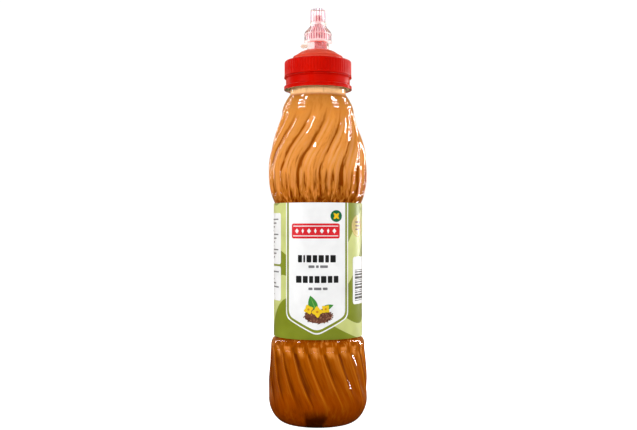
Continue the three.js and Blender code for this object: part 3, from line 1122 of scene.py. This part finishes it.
class LabelDrawing:
    """Outlines of the label's simple shapes, in mm along the label from the front's middle and in height."""

    @staticmethod
    def disc(middle: Point, wide: float, high: float, steps: int = 40, tilt: float = 0.0) -> Outline:
        """An oval.

        Args:
            middle: Its middle.
            wide: Half its width.
            high: Half its height.
            steps: Points round it.
            tilt: Tilt to the left in degrees.

        Returns:
            Its outline.
        """
        lean = math.radians(tilt)
        spots = []
        for k in range(steps):
            a = 2 * math.pi * k / steps
            x, z = wide * math.cos(a), high * math.sin(a)
            spots.append((middle[0] + x * math.cos(lean) - z * math.sin(lean),
                          middle[1] + x * math.sin(lean) + z * math.cos(lean)))
        return spots

    @staticmethod
    def panel(left: float, right: float, low: float, high: float, corner: float) -> Outline:
        """A rectangle with rounded corners.

        Args:
            left: Its left side.
            right: Its right side.
            low: Its lower side.
            high: Its upper side.
            corner: Radius of its corners.

        Returns:
            Its outline.
        """
        spots = []
        for cx, cz, first in ((right, high, 0), (left, high, 90), (left, low, 180), (right, low, 270)):
            mx = cx - corner if cx == right else cx + corner
            mz = cz - corner if cz == high else cz + corner
            for a in np.radians(np.linspace(first, first + 90, 6)):
                spots.append((mx + corner * math.cos(a), mz + corner * math.sin(a)))
        return spots

    @staticmethod
    def sweep(left: float, right: float, lower: Callable[[float], float], upper: Callable[[float], float],
              low: float, high: float) -> Outline:
        """A band between two curves, kept within two heights.

        Args:
            left: Where it starts.
            right: Where it ends.
            lower: Height of its lower edge at a place along the label.
            upper: Height of its upper edge at a place along the label.
            low: Lowest height that it may have.
            high: Greatest height that it may have.

        Returns:
            Its outline.
        """
        places = np.linspace(left, right, max(4, int((right - left) / 1.2)))
        bottom = [(float(s), min(high, max(low, lower(s)))) for s in places]
        top = [(float(s), min(high, max(low, upper(s)))) for s in places]
        return bottom + top[::-1]

    @staticmethod
    def around(middle: Point, reach: float, tilt: float) -> Outline:
        """Four places in a cross round a middle.

        Args:
            middle: The middle.
            reach: How far off they are.
            tilt: Turn of the first one, in degrees.

        Returns:
            The places.
        """
        angles = [math.radians(tilt + 90 * k) for k in range(4)]
        return [(middle[0] + reach * math.cos(a), middle[1] + reach * math.sin(a)) for a in angles]

    @staticmethod
    def leaf(root: Point, tip: Point, width: float, bend: float = 0.0, steps: int = 12) -> Outline:
        """A leaf or petal.

        Args:
            root: Where it grows from.
            tip: Its tip.
            width: Half its greatest width.
            bend: How far its middle is bent to the left.
            steps: Points along each side.

        Returns:
            Its outline.
        """
        start, end = np.array(root), np.array(tip)
        along = end - start
        side = np.array([-along[1], along[0]]) / np.linalg.norm(along)
        right, left = [], []
        for t in np.linspace(0, 1, steps):
            middle = start + along * t + side * bend * math.sin(math.pi * t)
            half = width * math.sin(math.pi * t**0.8) ** 0.9 if 0 < t < 1 else 0.0
            right.append(tuple(middle - side * half))
            left.append(tuple(middle + side * half))
        return [(float(x), float(z)) for x, z in right + left[-2:0:-1]]


@dataclass
class WrapLabel:
    """The wrap label: a film round the waist with a printed design of plain fields and shapes.

    Sizes are in mm. A place along the label counts from the front's middle to the right.
    """

    inner: float = 27.1
    outer: float = 27.36
    bottom: float = 53.4
    top: float = 134.6
    film_columns: int = 200
    slice_width: float = 1.5
    lift: float = 0.022
    shield_middle: float = -0.7
    shield_half: float = 18.0
    shield_tip: float = 58.4
    shield_shoulder: float = 67.4
    banner: tuple[float, float, float, float] = (-16.4, 13.4, 113.3, 122.2)
    badge: Point = (11.2, 126.6)
    seal: Point = (29.4, 120.7)
    bar_gap: float = 0.85
    seed_heap: Point = (0.2, 67.4)
    seed_count: int = 120
    shapes: list[tuple[Outline, Ink, int]] = field(default_factory=list)

    def put(self, outline: Outline, ink: Ink, layer: int) -> None:
        """Adds a printed shape.

        Args:
            outline: Its outline, left to right along the label and up.
            ink: Its ink.
            layer: How many layers lie under it.
        """
        self.shapes.append((outline, ink, layer))

    def crest(self, level: float, swing: float, lag: float, place: float) -> float:
        """Height of a wave's edge that meets itself at the label's seam.

        Args:
            level: Its mean height.
            swing: How far its broad wave swings.
            lag: Where the wave starts, as an angle in radians.
            place: Place along the label.

        Returns:
            The height.
        """
        angle = place / self.outer
        return level + swing * math.sin(2 * angle + lag) + 5 * math.sin(3 * angle + 2 * lag)

    def waves(self) -> None:
        """Prints the sweeping bands of light green."""
        half = math.pi * self.outer
        for lower, upper in (((63, 15, 2.4), (76, 17, 2.9)), ((98, 16, 4.4), (113, 15, 4.9)),
                             ((131, 12, 0.2), (150, 12, 0.9))):
            edges = partial(self.crest, *lower), partial(self.crest, *upper)
            self.put(LabelDrawing.sweep(-half, half, *edges, self.bottom, self.top), Ink.LIGHT_GREEN, 0)

    def shield(self, grow: float) -> Outline:
        """Outline of the front panel, which ends in a rounded point.

        Args:
            grow: How much larger it is than the white field.

        Returns:
            Its outline.
        """
        left, right = (self.shield_middle + side * (self.shield_half + grow) for side in (-1, 1))
        tip, shoulder = self.shield_tip - 1.12 * grow, self.shield_shoulder - 0.55 * grow
        return soften([(left, self.top), (left, shoulder), (self.shield_middle, tip), (right, shoulder),
                       (right, self.top)], 3.6, steps=8)

    def front(self) -> None:
        """Prints the front panel with its banner, badge and bars."""
        panel, disc, leaf = LabelDrawing.panel, LabelDrawing.disc, LabelDrawing.leaf
        for grow, ink, layer in ((2.3, Ink.WHITE, 1), (1.5, Ink.DARK_GREEN, 2), (0.0, Ink.WHITE, 3)):
            self.put(self.shield(grow), ink, layer)
        left, right, low, high = self.banner
        self.put(panel(left, right, low, high, 1.2), Ink.RED, 4)
        for line in (high - 1.8, low + 1.3):
            self.put(panel(left + 1, right - 1, line, line + 0.5, 0.2), Ink.WHITE, 5)
        for k in range(7):
            x, z = left + 3.5 + 3.8 * k, (low + high) / 2
            wide = 1.25 if k % 2 == 0 else 0.75
            self.put([(x - wide, z), (x, z - 1.5), (x + wide, z), (x, z + 1.5)], Ink.WHITE, 5)
        self.put(disc(self.badge, 3.7, 3.5), Ink.DEEP_GREEN, 4)
        for tip in LabelDrawing.around(self.badge, 2.5, 45):
            self.put(leaf(self.badge, tip, 0.75), Ink.YELLOW, 5)
        self.bars(Ink.BLACK, 101.35, 4.3, -12.2, (2.6, 1.1, 2.9, 2.6, 3.1, 2.2, 3.4))
        self.bars(Ink.GREY, 96.7, 1.5, -5.6, (3.6, 1.6, 4.6))
        self.bars(Ink.BLACK, 89.1, 4.1, -13.5, (3.6, 3.0, 2.4, 2.9, 3.2, 2.8, 3.0))
        self.bars(Ink.GREY, 83.6, 1.5, -5.6, (2.4, 4.4, 2.8))

    def bars(self, ink: Ink, middle: float, tall: float, left: float, widths: Iterable[float]) -> None:
        """Prints a row of plain bars.

        Args:
            ink: Their ink.
            middle: Height of their middle.
            tall: How tall they are.
            left: Where the row starts.
            widths: Width of each bar.
        """
        for width in widths:
            bar = LabelDrawing.panel(left, left + width, middle - tall / 2, middle + tall / 2, 0.35)
            self.put(bar, ink, 4)
            left += width + self.bar_gap

    def flower(self, middle: Point, size: float, tilt: float, layer: int) -> None:
        """Prints a four-petalled flower.

        Args:
            middle: Its middle.
            size: Length of a petal.
            tilt: Turn of the first petal, in degrees.
            layer: How many layers lie under it.
        """
        for tip in LabelDrawing.around(middle, size, tilt):
            self.put(LabelDrawing.leaf(middle, tip, size * 0.42), Ink.YELLOW, layer)
        self.put(LabelDrawing.disc(middle, size * 0.22, size * 0.22, 14), Ink.AMBER, layer + 1)

    def seeds(self) -> None:
        """Prints the heap of seeds in three browns."""
        draw = np.random.default_rng(SEED)
        x, z = self.seed_heap
        self.put(LabelDrawing.disc((x, z), 8.2, 4.1, 44), Ink.BROWN, 5)
        for k in range(self.seed_count):
            a = draw.uniform(0, 2 * math.pi)
            reach = math.sqrt(draw.uniform(0.0, 1.25))
            spot = (x + 8.0 * reach * math.cos(a), z - 0.2 + 4.0 * reach * math.sin(a))
            seed = LabelDrawing.disc(spot, draw.uniform(0.35, 0.55), draw.uniform(0.3, 0.45), 8)
            self.put(seed, (Ink.DARK_BROWN, Ink.TAN, Ink.BROWN)[k % 3], 6)

    def sprig(self) -> None:
        """Prints the sprig: two leaves, a heap of seeds and three flowers."""
        leaf = LabelDrawing.leaf
        self.put(leaf((-1.0, 70.5), (-4.6, 79.6), 2.7, 0.5), Ink.LEAF, 4)
        self.put(leaf((-1.1, 70.9), (-4.3, 78.6), 0.28), Ink.LEAF_PALE, 5)
        self.put(leaf((2.0, 70.2), (9.4, 74.0), 1.7, 0.5), Ink.LEAF, 4)
        self.put(leaf((2.4, 70.5), (8.6, 73.6), 0.2), Ink.LEAF_PALE, 5)
        self.seeds()
        self.flower((-5.6, 71.4), 3.1, 20, 7)
        self.flower((4.6, 71.6), 2.9, 50, 7)
        self.flower((-0.4, 70.0), 3.5, 5, 8)

    def rules(self, left: float, right: float, top: float, tall: float, drop: float, shorts: Iterable[float],
              ink: Ink = Ink.GREY, layer: int = 3, corner: float = 0.2) -> None:
        """Prints a block of level rules, one under the other.

        Args:
            left: Where they start.
            right: Where a full one ends.
            top: Lower side of the first one.
            tall: How tall they are.
            drop: Distance from one to the next.
            shorts: How much shorter than a full one each of them is.
            ink: Their ink.
            layer: How many layers lie under them.
            corner: Radius of their corners.
        """
        for k, short in enumerate(shorts):
            low = top - drop * k
            self.put(LabelDrawing.panel(left, right - short, low, low + tall, corner), ink, layer)

    def sides(self) -> None:
        """Prints the side panels with their rules, the round seal and the stripes."""
        panel = LabelDrawing.panel
        for sides in ((-60.0, -26.0, 97.6, 128.6, 1.6), (-60.0, -26.0, 75.6, 96.4, 1.6),
                      (23.8, 44.0, 73.6, 102.2, 1.8), (52.0, 70.0, 66.0, 120.0, 1.8)):
            self.put(panel(*sides), Ink.WHITE, 2)
        self.rules(-57.5, -29.0, 124.4, 0.8, 2.3, (3.0 * (k * 5 % 4) for k in range(11)))
        self.rules(-57.5, -28.5, 92.6, 0.8, 2.3, (4.0 * (k * 3 % 4) for k in range(7)))
        self.rules(54.0, 68.0, 115.6, 0.9, 2.9, (2.5 * (k * 5 % 4) for k in range(17)))
        for k, (size, ink) in enumerate(((6.7, Ink.GOLD), (5.9, Ink.PALE_GOLD), (5.5, Ink.GOLD))):
            self.put(LabelDrawing.disc(self.seal, size, size, 60), ink, 2 + k)
        self.rules(26.4, 32.4, 122.6, 1.0, 2.2, (0.0, 0.0, 0.0), Ink.BROWN, 5, 0.3)
        level = 75.6
        for k in range(13):
            thick = 0.45 + 0.35 * (k * 7 % 4)
            self.put(panel(26.0, 41.5, level, level + thick, 0.1), Ink.BLACK, 3)
            level += thick + 0.55 + 0.3 * (k * 3 % 3)

    def film(self) -> Piece:
        """Makes the film with its rolled edges.

        Returns:
            The piece.
        """
        mesh = TurnedMesh(self.film_columns)
        mesh.rings_of(soften([(self.inner, self.bottom), (self.outer, self.bottom), (self.outer, self.top),
                              (self.inner, self.top)], 0.08, steps=2, closed=True))
        green = Ink.DARK_GREEN.value.build()
        return dress(mesh.build("label_film", closes=True), ["label"], Slot.PRINTED_LABEL, green)

    def stamp(self, build: bmesh.types.BMesh, outline: Outline, layer: int, ink_index: int) -> None:
        """Lays one printed shape on the film.

        Args:
            build: Mesh that takes it.
            outline: Its outline.
            layer: How many layers lie under it.
            ink_index: Number of its material.
        """
        area = sum(a[0] * b[1] - b[0] * a[1] for a, b in zip(outline, outline[1:] + outline[:1]))
        spots = outline if area > 0 else outline[::-1]
        flat = bmesh.new()
        flat.faces.new([flat.verts.new((s, 0.0, z)) for s, z in spots])
        bmesh.ops.triangulate(flat, faces=flat.faces[:], ngon_method="EAR_CLIP")
        places = [s for s, _ in spots]
        first, last = math.ceil(min(places) / self.slice_width), math.floor(max(places) / self.slice_width)
        for k in range(first, last + 1):
            bmesh.ops.bisect_plane(flat, geom=flat.verts[:] + flat.edges[:] + flat.faces[:], dist=1e-4,
                                   plane_co=(k * self.slice_width, 0, 0), plane_no=(1, 0, 0))
        radius = (self.outer + self.lift * (layer + 1)) * MM
        placed = {}
        for vert in flat.verts:
            angle = vert.co.x / self.outer
            spot = (radius * math.sin(angle), -radius * math.cos(angle), vert.co.z * MM)
            placed[vert] = build.verts.new(spot)
        for face in flat.faces:
            laid = build.faces.new([placed[v] for v in face.verts])
            laid.material_index = ink_index
        flat.free()

    def print_layer(self) -> Piece:
        """Makes the print.

        Returns:
            The piece, with one material for each ink.
        """
        build = bmesh.new()
        inks = list(Ink)
        for outline, ink, layer in self.shapes:
            self.stamp(build, outline, layer, inks.index(ink))
        piece = smooth_object("label_print", set_down(build, "label_print"), 40)
        materials = [bpy.data.materials.get(ink.value.name) or ink.value.build() for ink in inks]
        return dress(piece, [], Slot.PRINTED_LABEL, *materials)

    def build(self) -> None:
        """Makes the film and its print."""
        self.waves()
        self.front()
        self.sprig()
        self.sides()
        self.film()
        self.print_layer()


@dataclass
class TamperBand:
    """The tamper band under the cap, with a lip at each edge and a narrow collar round the support ring."""

    columns: int = 240
    radius: float = 19.8
    lip: float = 20.98
    inner: float = 18.5
    bottom: float = 206.5
    top: float = 212.7
    thick: float = 0.5
    collar_bottom: float = 204.9
    collar_inner: float = 20.74

    def build(self, finish: Material) -> Piece:
        """Makes the band.

        Args:
            finish: Its material.

        Returns:
            The piece.
        """
        thick, lip = self.thick, self.lip
        mesh = TurnedMesh(self.columns)
        mesh.rings_of(soften([
            (self.inner, self.bottom), (self.collar_inner, self.bottom),
            (self.collar_inner, self.collar_bottom), (lip, self.collar_bottom),
            (lip, self.collar_bottom + 2 * thick), (lip - 0.25, self.bottom - thick),
            (lip, self.bottom - 0.6 * thick), (lip, self.bottom + thick),
            (self.radius, self.bottom + 2 * thick), (self.radius + 0.05, self.top - 2 * thick),
            (lip, self.top - thick), (lip, self.top), (self.inner, self.top),
        ], 0.25, closed=True))
        piece = mesh.build("tamper_band_ring", closes=True, crease=50)
        return dress(piece, ["tamper_band"], Slot.RED_PLASTIC, finish)


@dataclass
class ScrewCap:
    """The red screw cap: ribbed skirt, deck, dome and spout.

    A row of the skirt is its height, how far it stands out and its share of the grooves' depth. The other
    profiles are radii and heights.
    """

    ribs: int = 72
    rib_columns: int = 8
    rib_depth: float = 0.2
    skirt_radius: float = 20.72
    fillet: float = 0.45
    skirt_rows: tuple[Triple, ...] = (
        (213.0, -0.1, 0.0), (213.15, 0.06, 0.0), (213.7, 0.06, 0.0), (213.95, 0.0, 0.2), (214.3, 0.0, 1.0),
        (217.5, 0.0, 1.0), (221.2, 0.0, 1.0), (221.7, -0.02, 0.8), (222.05, -0.12, 0.4), (222.3, -0.32, 0.1),
        (222.55, -0.62, 0.0), (222.7, -1.0, 0.0),
    )
    deck: Points = ((19.4, 222.7), (15.2, 222.7), (15.1, 224.7), (15.5, 225.0), (15.3, 225.6), (14.2, 225.7))
    dome: Points = ((13.7, 226.3), (10.9, 228.2), (9.0, 229.1), (5.2, 229.2))
    spout: Points = ((5.2, 230.6), (5.6, 231.1), (5.6, 232.1), (5.2, 232.6), (5.1, 237.6), (4.9, 240.4),
                     (4.0, 242.6), (2.9, 244.2), (2.0, 245.2), (1.9, 251.4), (1.1, 251.5))
    inside: Points = ((1.1, 243.4), (3.6, 238.2), (3.6, 227.7), (9.0, 227.7), (13.0, 224.6), (14.0, 221.6),
                      (18.9, 221.6), (18.9, 213.1))

    def build(self, finish: Material) -> Piece:
        """Makes the cap.

        Args:
            finish: Its material.

        Returns:
            The piece.
        """
        mesh = TurnedMesh(self.ribs * self.rib_columns)
        share = (mesh.steps / self.rib_columns) % 1
        groove = self.rib_depth * ease(np.abs(2 * share - 1), 0.25, 0.75)
        for height, out, depth in self.skirt_rows:
            mesh.ring(self.skirt_radius + out - groove * depth, height)
        mesh.rings_of(soften([*self.deck, *self.dome, *self.spout, *self.inside], self.fillet))
        piece = mesh.build("screw_cap_shell", closes=True, crease=50)
        return dress(piece, ["screw_cap"], Slot.RED_PLASTIC, finish)


@dataclass
class SpoutCap:
    """The clear cap over the spout: rim, ribbed drum, ribbed bell, collar and ribbed finger.

    The plain parts are radii and heights. A row of the drum or the finger is its height and its share of the
    grooves' depth. The bell's pair is its foot and its top.
    """

    columns: int = 384
    wide_ribs: int = 32
    narrow_ribs: int = 16
    rib_depth: float = 0.4
    rim: Points = ((6.4, 234.35), (8.6, 234.3), (8.78, 234.45), (8.78, 235.05), (8.6, 235.25))
    drum_radius: float = 8.4
    drum: Points = ((235.45, 0.2), (235.75, 1.0), (237.3, 1.0), (238.9, 1.0), (239.15, 0.3))
    bead: Points = ((8.62, 239.25), (8.68, 239.4), (8.62, 239.6))
    bell: Point = (239.75, 244.9)
    bell_rings: int = 14
    bell_curve: float = 239.8
    bell_top_radius: float = 5.1
    collar: Points = ((5.2, 245.15), (5.28, 245.3), (5.28, 246.2), (5.2, 246.4))
    finger_radius: float = 4.68
    finger_taper: float = 0.025
    finger: Points = ((246.7, 0.3), (246.95, 1.0), (250.5, 1.0), (254.0, 1.0), (254.5, 0.8))
    inside: Points = ((4.15, 254.95), (3.8, 255.2), (3.3, 255.35), (1.5, 255.38), (0.0, 255.38), (0.0, 253.9),
                      (1.6, 253.95), (2.5, 253.6), (2.75, 252.5), (3.1, 246.3), (3.5, 244.9), (4.4, 242.9),
                      (5.6, 240.6), (6.3, 238.8), (6.4, 236.5))

    def ribbed(self, count: int) -> tuple[np.ndarray, np.ndarray]:
        """Works out a set of ribs.

        Args:
            count: Number of ribs.

        Returns:
            Depth of the grooves between them, in mm, and their haze, for each column.
        """
        share = (np.arange(self.columns) * count / self.columns) % 1
        ridge = np.abs(np.cos(math.pi * share)) ** 0.8
        return self.rib_depth * (1 - ridge), ease(ridge, 0.5, 0.95)

    def build(self, finish: Material) -> Piece:
        """Makes the cap.

        Args:
            finish: Its material.

        Returns:
            The piece.
        """
        mesh = TurnedMesh(self.columns)
        wide, milky = self.ribbed(self.wide_ribs)
        narrow, thin = self.ribbed(self.narrow_ribs)
        mesh.rings_of(self.rim, shade=1.0)
        for height, depth in self.drum:
            mesh.ring(self.drum_radius - wide * depth, height, 0.0, blend(1.0, milky, depth))
        mesh.rings_of(self.bead, shade=0.9)
        for height in np.linspace(*self.bell, self.bell_rings):
            drawn = ease(height, self.bell_curve, self.bell[1])
            mesh.ring(blend(self.drum_radius, self.bell_top_radius, drawn) - wide, height, 0.0, milky)
        mesh.rings_of(self.collar, shade=1.0)
        for height, depth in self.finger:
            plain = self.finger_radius - self.finger_taper * (height - self.finger[0][0])
            mesh.ring(plain - narrow * depth, height, 0.0, blend(1.0, thin, depth))
        mesh.rings_of(self.inside, shade=0.8)
        piece = mesh.build("spout_cap_shell", closes=True, crease=60)
        return dress(piece, ["spout_cap"], Slot.CLEAR_CAP, finish)


@dataclass
class TearRing:
    """The tear ring under the clear cap, with its pull tab out to the left."""

    columns: int = 160
    radius: float = 6.7
    wall: float = 0.7
    bottom: float = 229.5
    top: float = 234.0
    break_line: float = 230.9
    break_depth: float = 0.15
    milky_side: Point = (-86, -18)
    hoop_haze: Point = (0.6, 1.0)
    tab_reach: float = 10.75
    tab_middle: float = 232.3
    tab_height: float = 2.6
    tab_thickness: float = 1.05
    tab_haze: float = 0.75
    tab_bevel: float = 0.22

    def hoop(self) -> Piece:
        """Makes the ring with its shallow break line.

        Returns:
            The ring, not yet dressed.
        """
        mesh = TurnedMesh(self.columns)
        inner, cut, line = self.radius - self.wall, self.radius - self.break_depth, self.break_line
        profile = soften([
            (inner, self.bottom), (self.radius, self.bottom), (self.radius, line - 0.3), (cut, line - 0.1),
            (cut, line + 0.1), (self.radius, line + 0.3), (self.radius, self.top), (inner, self.top),
        ], 0.15, steps=2, closed=True)
        angle = (mesh.steps * 360 / mesh.columns + 180) % 360 - 180
        left, right = self.milky_side
        plain, milky = self.hoop_haze
        mesh.rings_of(profile, shade=np.where((angle > left) & (angle < right), milky, plain))
        return mesh.build("tear_ring_hoop", closes=True, crease=50)

    def tab_outline(self) -> Outline:
        """Works out the outline of the pull tab.

        Returns:
            Places to the right and heights from its middle, from the root to the round end and back.
        """
        half = self.tab_height / 2
        root, end = self.wall / 2 - self.radius, half - self.tab_reach
        angles = np.linspace(math.pi / 2, 3 * math.pi / 2, 14)
        arc = [(end + half * math.cos(a), half * math.sin(a)) for a in angles]
        return [(root, -half / 2), (root, half / 2), (end + 0.8, half), *arc, (end + 0.8, -half)]

    def tab(self) -> Piece:
        """Makes the pull tab, a flat tongue on edge with rounded edges.

        Returns:
            The tab, not yet dressed.
        """
        build = bmesh.new()
        front = -self.tab_thickness / 2 * MM
        near = [build.verts.new((x * MM, front, (self.tab_middle + z) * MM)) for x, z in self.tab_outline()]
        face = build.faces.new(near)
        bmesh.ops.recalc_face_normals(build, faces=[face])
        grown = bmesh.ops.extrude_face_region(build, geom=[face])
        moved = [g for g in grown["geom"] if isinstance(g, bmesh.types.BMVert)]
        bmesh.ops.translate(build, verts=moved, vec=Vector((0, self.tab_thickness * MM, 0)))
        bmesh.ops.bevel(build, geom=build.edges[:], offset=self.tab_bevel * MM, segments=2, affect="EDGES")
        bmesh.ops.recalc_face_normals(build, faces=build.faces[:])
        mesh = set_down(build, "tear_ring_tab")
        haze = mesh.attributes.new("shade", "FLOAT", "POINT")
        haze.data.foreach_set("value", [self.tab_haze] * len(mesh.vertices))
        return smooth_object("tear_ring_tab", mesh, 50)

    def build(self, finish: Material) -> None:
        """Makes the ring and its tab, both of one material."""
        for piece in (self.hoop(), self.tab()):
            dress(piece, ["tear_ring"], Slot.CLEAR_CAP, finish)


@dataclass
class Lamp:
    """One soft panel of light that faces the bottle's axis.

    Angles are in degrees, to the right of the front and up, and lengths in metres. A small spread narrows
    its beam.
    """

    name: str
    azimuth: float
    elevation: float
    distance: float
    wide: float
    tall: float
    power: float
    aim: float = 0.15
    lights_matt: bool = True
    shines: bool = True
    spread: float = 180.0

    def build(self) -> Piece:
        """Makes the lamp.

        Returns:
            The lamp, turned to the bottle.
        """
        data = bpy.data.lights.new(self.name, "AREA")
        data.shape = "RECTANGLE"
        data.size, data.size_y = self.wide, self.tall
        data.energy = self.power
        data.spread = math.radians(self.spread)
        lamp = bpy.data.objects.new(self.name, data)
        turn, rise = math.radians(self.azimuth), math.radians(self.elevation)
        away = Vector((math.sin(turn) * math.cos(rise), -math.cos(turn) * math.cos(rise), math.sin(rise)))
        lamp.location = away * self.distance + Vector((0, 0, self.aim))
        lamp.rotation_mode = "QUATERNION"
        lamp.rotation_quaternion = away.to_track_quat("Z", "Y")
        lamp.visible_camera = False
        lamp.visible_diffuse = self.lights_matt
        lamp.visible_transmission = self.lights_matt
        lamp.visible_glossy = self.shines
        bpy.context.scene.collection.objects.link(lamp)
        return lamp


@dataclass
class Studio:
    """The plain white studio: floor, surround, lamps and camera."""

    camera_place: Triple = (0.0, -0.5481, 0.1191)
    camera_shift: Point = (0.0009, 0.0215)
    focal_px: float = 883.0
    frame_width_px: float = 637.0
    sensor: float = 36.0
    floor_half: float = 30.0
    floor_gap: float = 0.0001
    floor_glow: float = 1.02
    sky_glow: float = 1.05
    ambient: float = 0.14
    mirrored: float = 0.01
    backdrop: float = 0.4
    reflected: Colour = (1.0, 0.66, 0.32, 1.0)
    lamps: tuple[Lamp, ...] = (
        Lamp("left_softbox", -52, 18, 0.9, 0.34, 0.6, 5.3, shines=False),
        Lamp("right_softbox", 84, 14, 0.9, 0.4, 0.6, 5.2, shines=False),
        Lamp("front_fill", 5, 10, 1.3, 0.9, 0.4, 3.5, shines=False),
        Lamp("top_softbox", 0, 76, 0.9, 0.5, 0.5, 0.5, shines=False),
        Lamp("left_shine", -56, 48, 0.5, 0.045, 0.11, 0.018, 0.175, lights_matt=False, spread=16),
        Lamp("right_shine", 70, 48, 0.5, 0.045, 0.11, 0.018, 0.175, lights_matt=False, spread=16),
        Lamp("left_high", -98, 57, 0.5, 0.2, 0.045, 0.017, 0.196, lights_matt=False, spread=18),
        Lamp("left_higher", -114, 57, 0.5, 0.2, 0.045, 0.017, 0.196, lights_matt=False, spread=18),
        Lamp("right_high", 108, 56, 0.5, 0.2, 0.045, 0.017, 0.196, lights_matt=False, spread=18),
        Lamp("right_higher", 124, 56, 0.5, 0.2, 0.045, 0.017, 0.196, lights_matt=False, spread=18),
        Lamp("right_rim", 128, 14, 0.8, 0.055, 0.7, 4.2, lights_matt=False),
        Lamp("left_rim", -130, 20, 0.8, 0.07, 0.6, 0.9, lights_matt=False),
        Lamp("back_fill", 180, 30, 1.2, 0.9, 0.6, 4.0, shines=False),
    )

    def seen(self, bench: NodeBench) -> Socket:
        """Picks the rays that come from the camera, straight or through clear plastic.

        Args:
            bench: Bench of the floor or the surround.

        Returns:
            Socket that is 1 for those rays and 0 for the rest.
        """
        path = bench.add("LightPath")
        direct = bench.math("LESS_THAN", path.outputs["Diffuse Depth"], 0.5)
        through = bench.math("MULTIPLY", path.outputs["Is Transmission Ray"], direct)
        return bench.math("MAXIMUM", path.outputs["Is Camera Ray"], through)

    def floor(self) -> None:
        """Lays a pale floor that runs on to the horizon."""
        bench = NodeBench(bpy.data.materials.new("pale_floor"))
        pale = bench.mix(bench.noise(3), (0.8, 0.8, 0.8, 1.0), (0.84, 0.84, 0.84, 1.0))
        matt = bench.add("BsdfDiffuse", {"Color": pale})
        glow = bench.add("Emission", {"Strength": bench.math("MULTIPLY", self.seen(bench), self.floor_glow)})
        material = bench.finish(bench.join("AddShader", matt.outputs[0], glow.outputs[0]))
        half = self.floor_half
        around = ((-half, -half), (half, -half), (half, half), (-half, half))
        spots = [(x, y, -self.floor_gap) for x, y in around]
        mesh = bpy.data.meshes.new("floor")
        mesh.from_pydata(spots, [], [(0, 1, 2, 3)])
        mesh.materials.append(material)
        sheet = bpy.data.objects.new("floor", mesh)
        sheet.visible_glossy = False
        bpy.context.scene.collection.objects.link(sheet)

    def surround(self) -> None:
        """Sets a white surround that lights the bottle softly and is warm where the bottle mirrors it."""
        bench = NodeBench(bpy.data.worlds.new("white_surround"))
        _, back, up = bench.axes("Generated")
        glossy = bench.add("LightPath").outputs["Is Glossy Ray"]
        behind = bench.span(back, 0.1, 0.9, self.mirrored, self.backdrop)
        above = bench.span(up, -0.3, 0.0, 0.1, 1.0)
        dim = bench.span(glossy, 0.0, 1.0, self.ambient, bench.math("MULTIPLY", behind, above))
        strength = bench.span(self.seen(bench), 0.0, 1.0, dim, self.sky_glow)
        hue = bench.mix(glossy, WHITE, self.reflected)
        glow = bench.add("Background", {"Color": hue, "Strength": strength})
        bpy.context.scene.world = bench.finish(glow.outputs[0])

    def camera(self) -> None:
        """Sets the camera level with the label, a little over half a metre in front."""
        data = bpy.data.cameras.new("camera")
        data.sensor_width = self.sensor
        data.lens = self.focal_px * self.sensor / self.frame_width_px
        data.shift_x, data.shift_y = self.camera_shift
        data.clip_start, data.clip_end = 0.01, 100.0
        camera = bpy.data.objects.new("camera", data)
        camera.location = self.camera_place
        camera.rotation_euler = (math.pi / 2, 0.0, 0.0)
        bpy.context.scene.collection.objects.link(camera)
        bpy.context.scene.camera = camera

    def build(self) -> None:
        """Makes the whole studio."""
        view = bpy.context.scene.view_settings
        view.view_transform = "Standard"
        view.look = "None"
        self.floor()
        self.surround()
        self.camera()
        for lamp in self.lamps:
            lamp.build()


def main() -> None:
    """Builds the bottle and the studio."""
    logging.basicConfig(level=logging.INFO, format="%(name)s %(message)s")
    Bottle().build()
    Mustard().build()
    WrapLabel().build()
    red = RedPlasticFinish().build()
    TamperBand().build(red)
    ScrewCap().build(red)
    clear = HazyPlasticFinish().build()
    SpoutCap().build(clear)
    TearRing().build(clear)
    Studio().build()


if __name__ == "__main__":
    main()
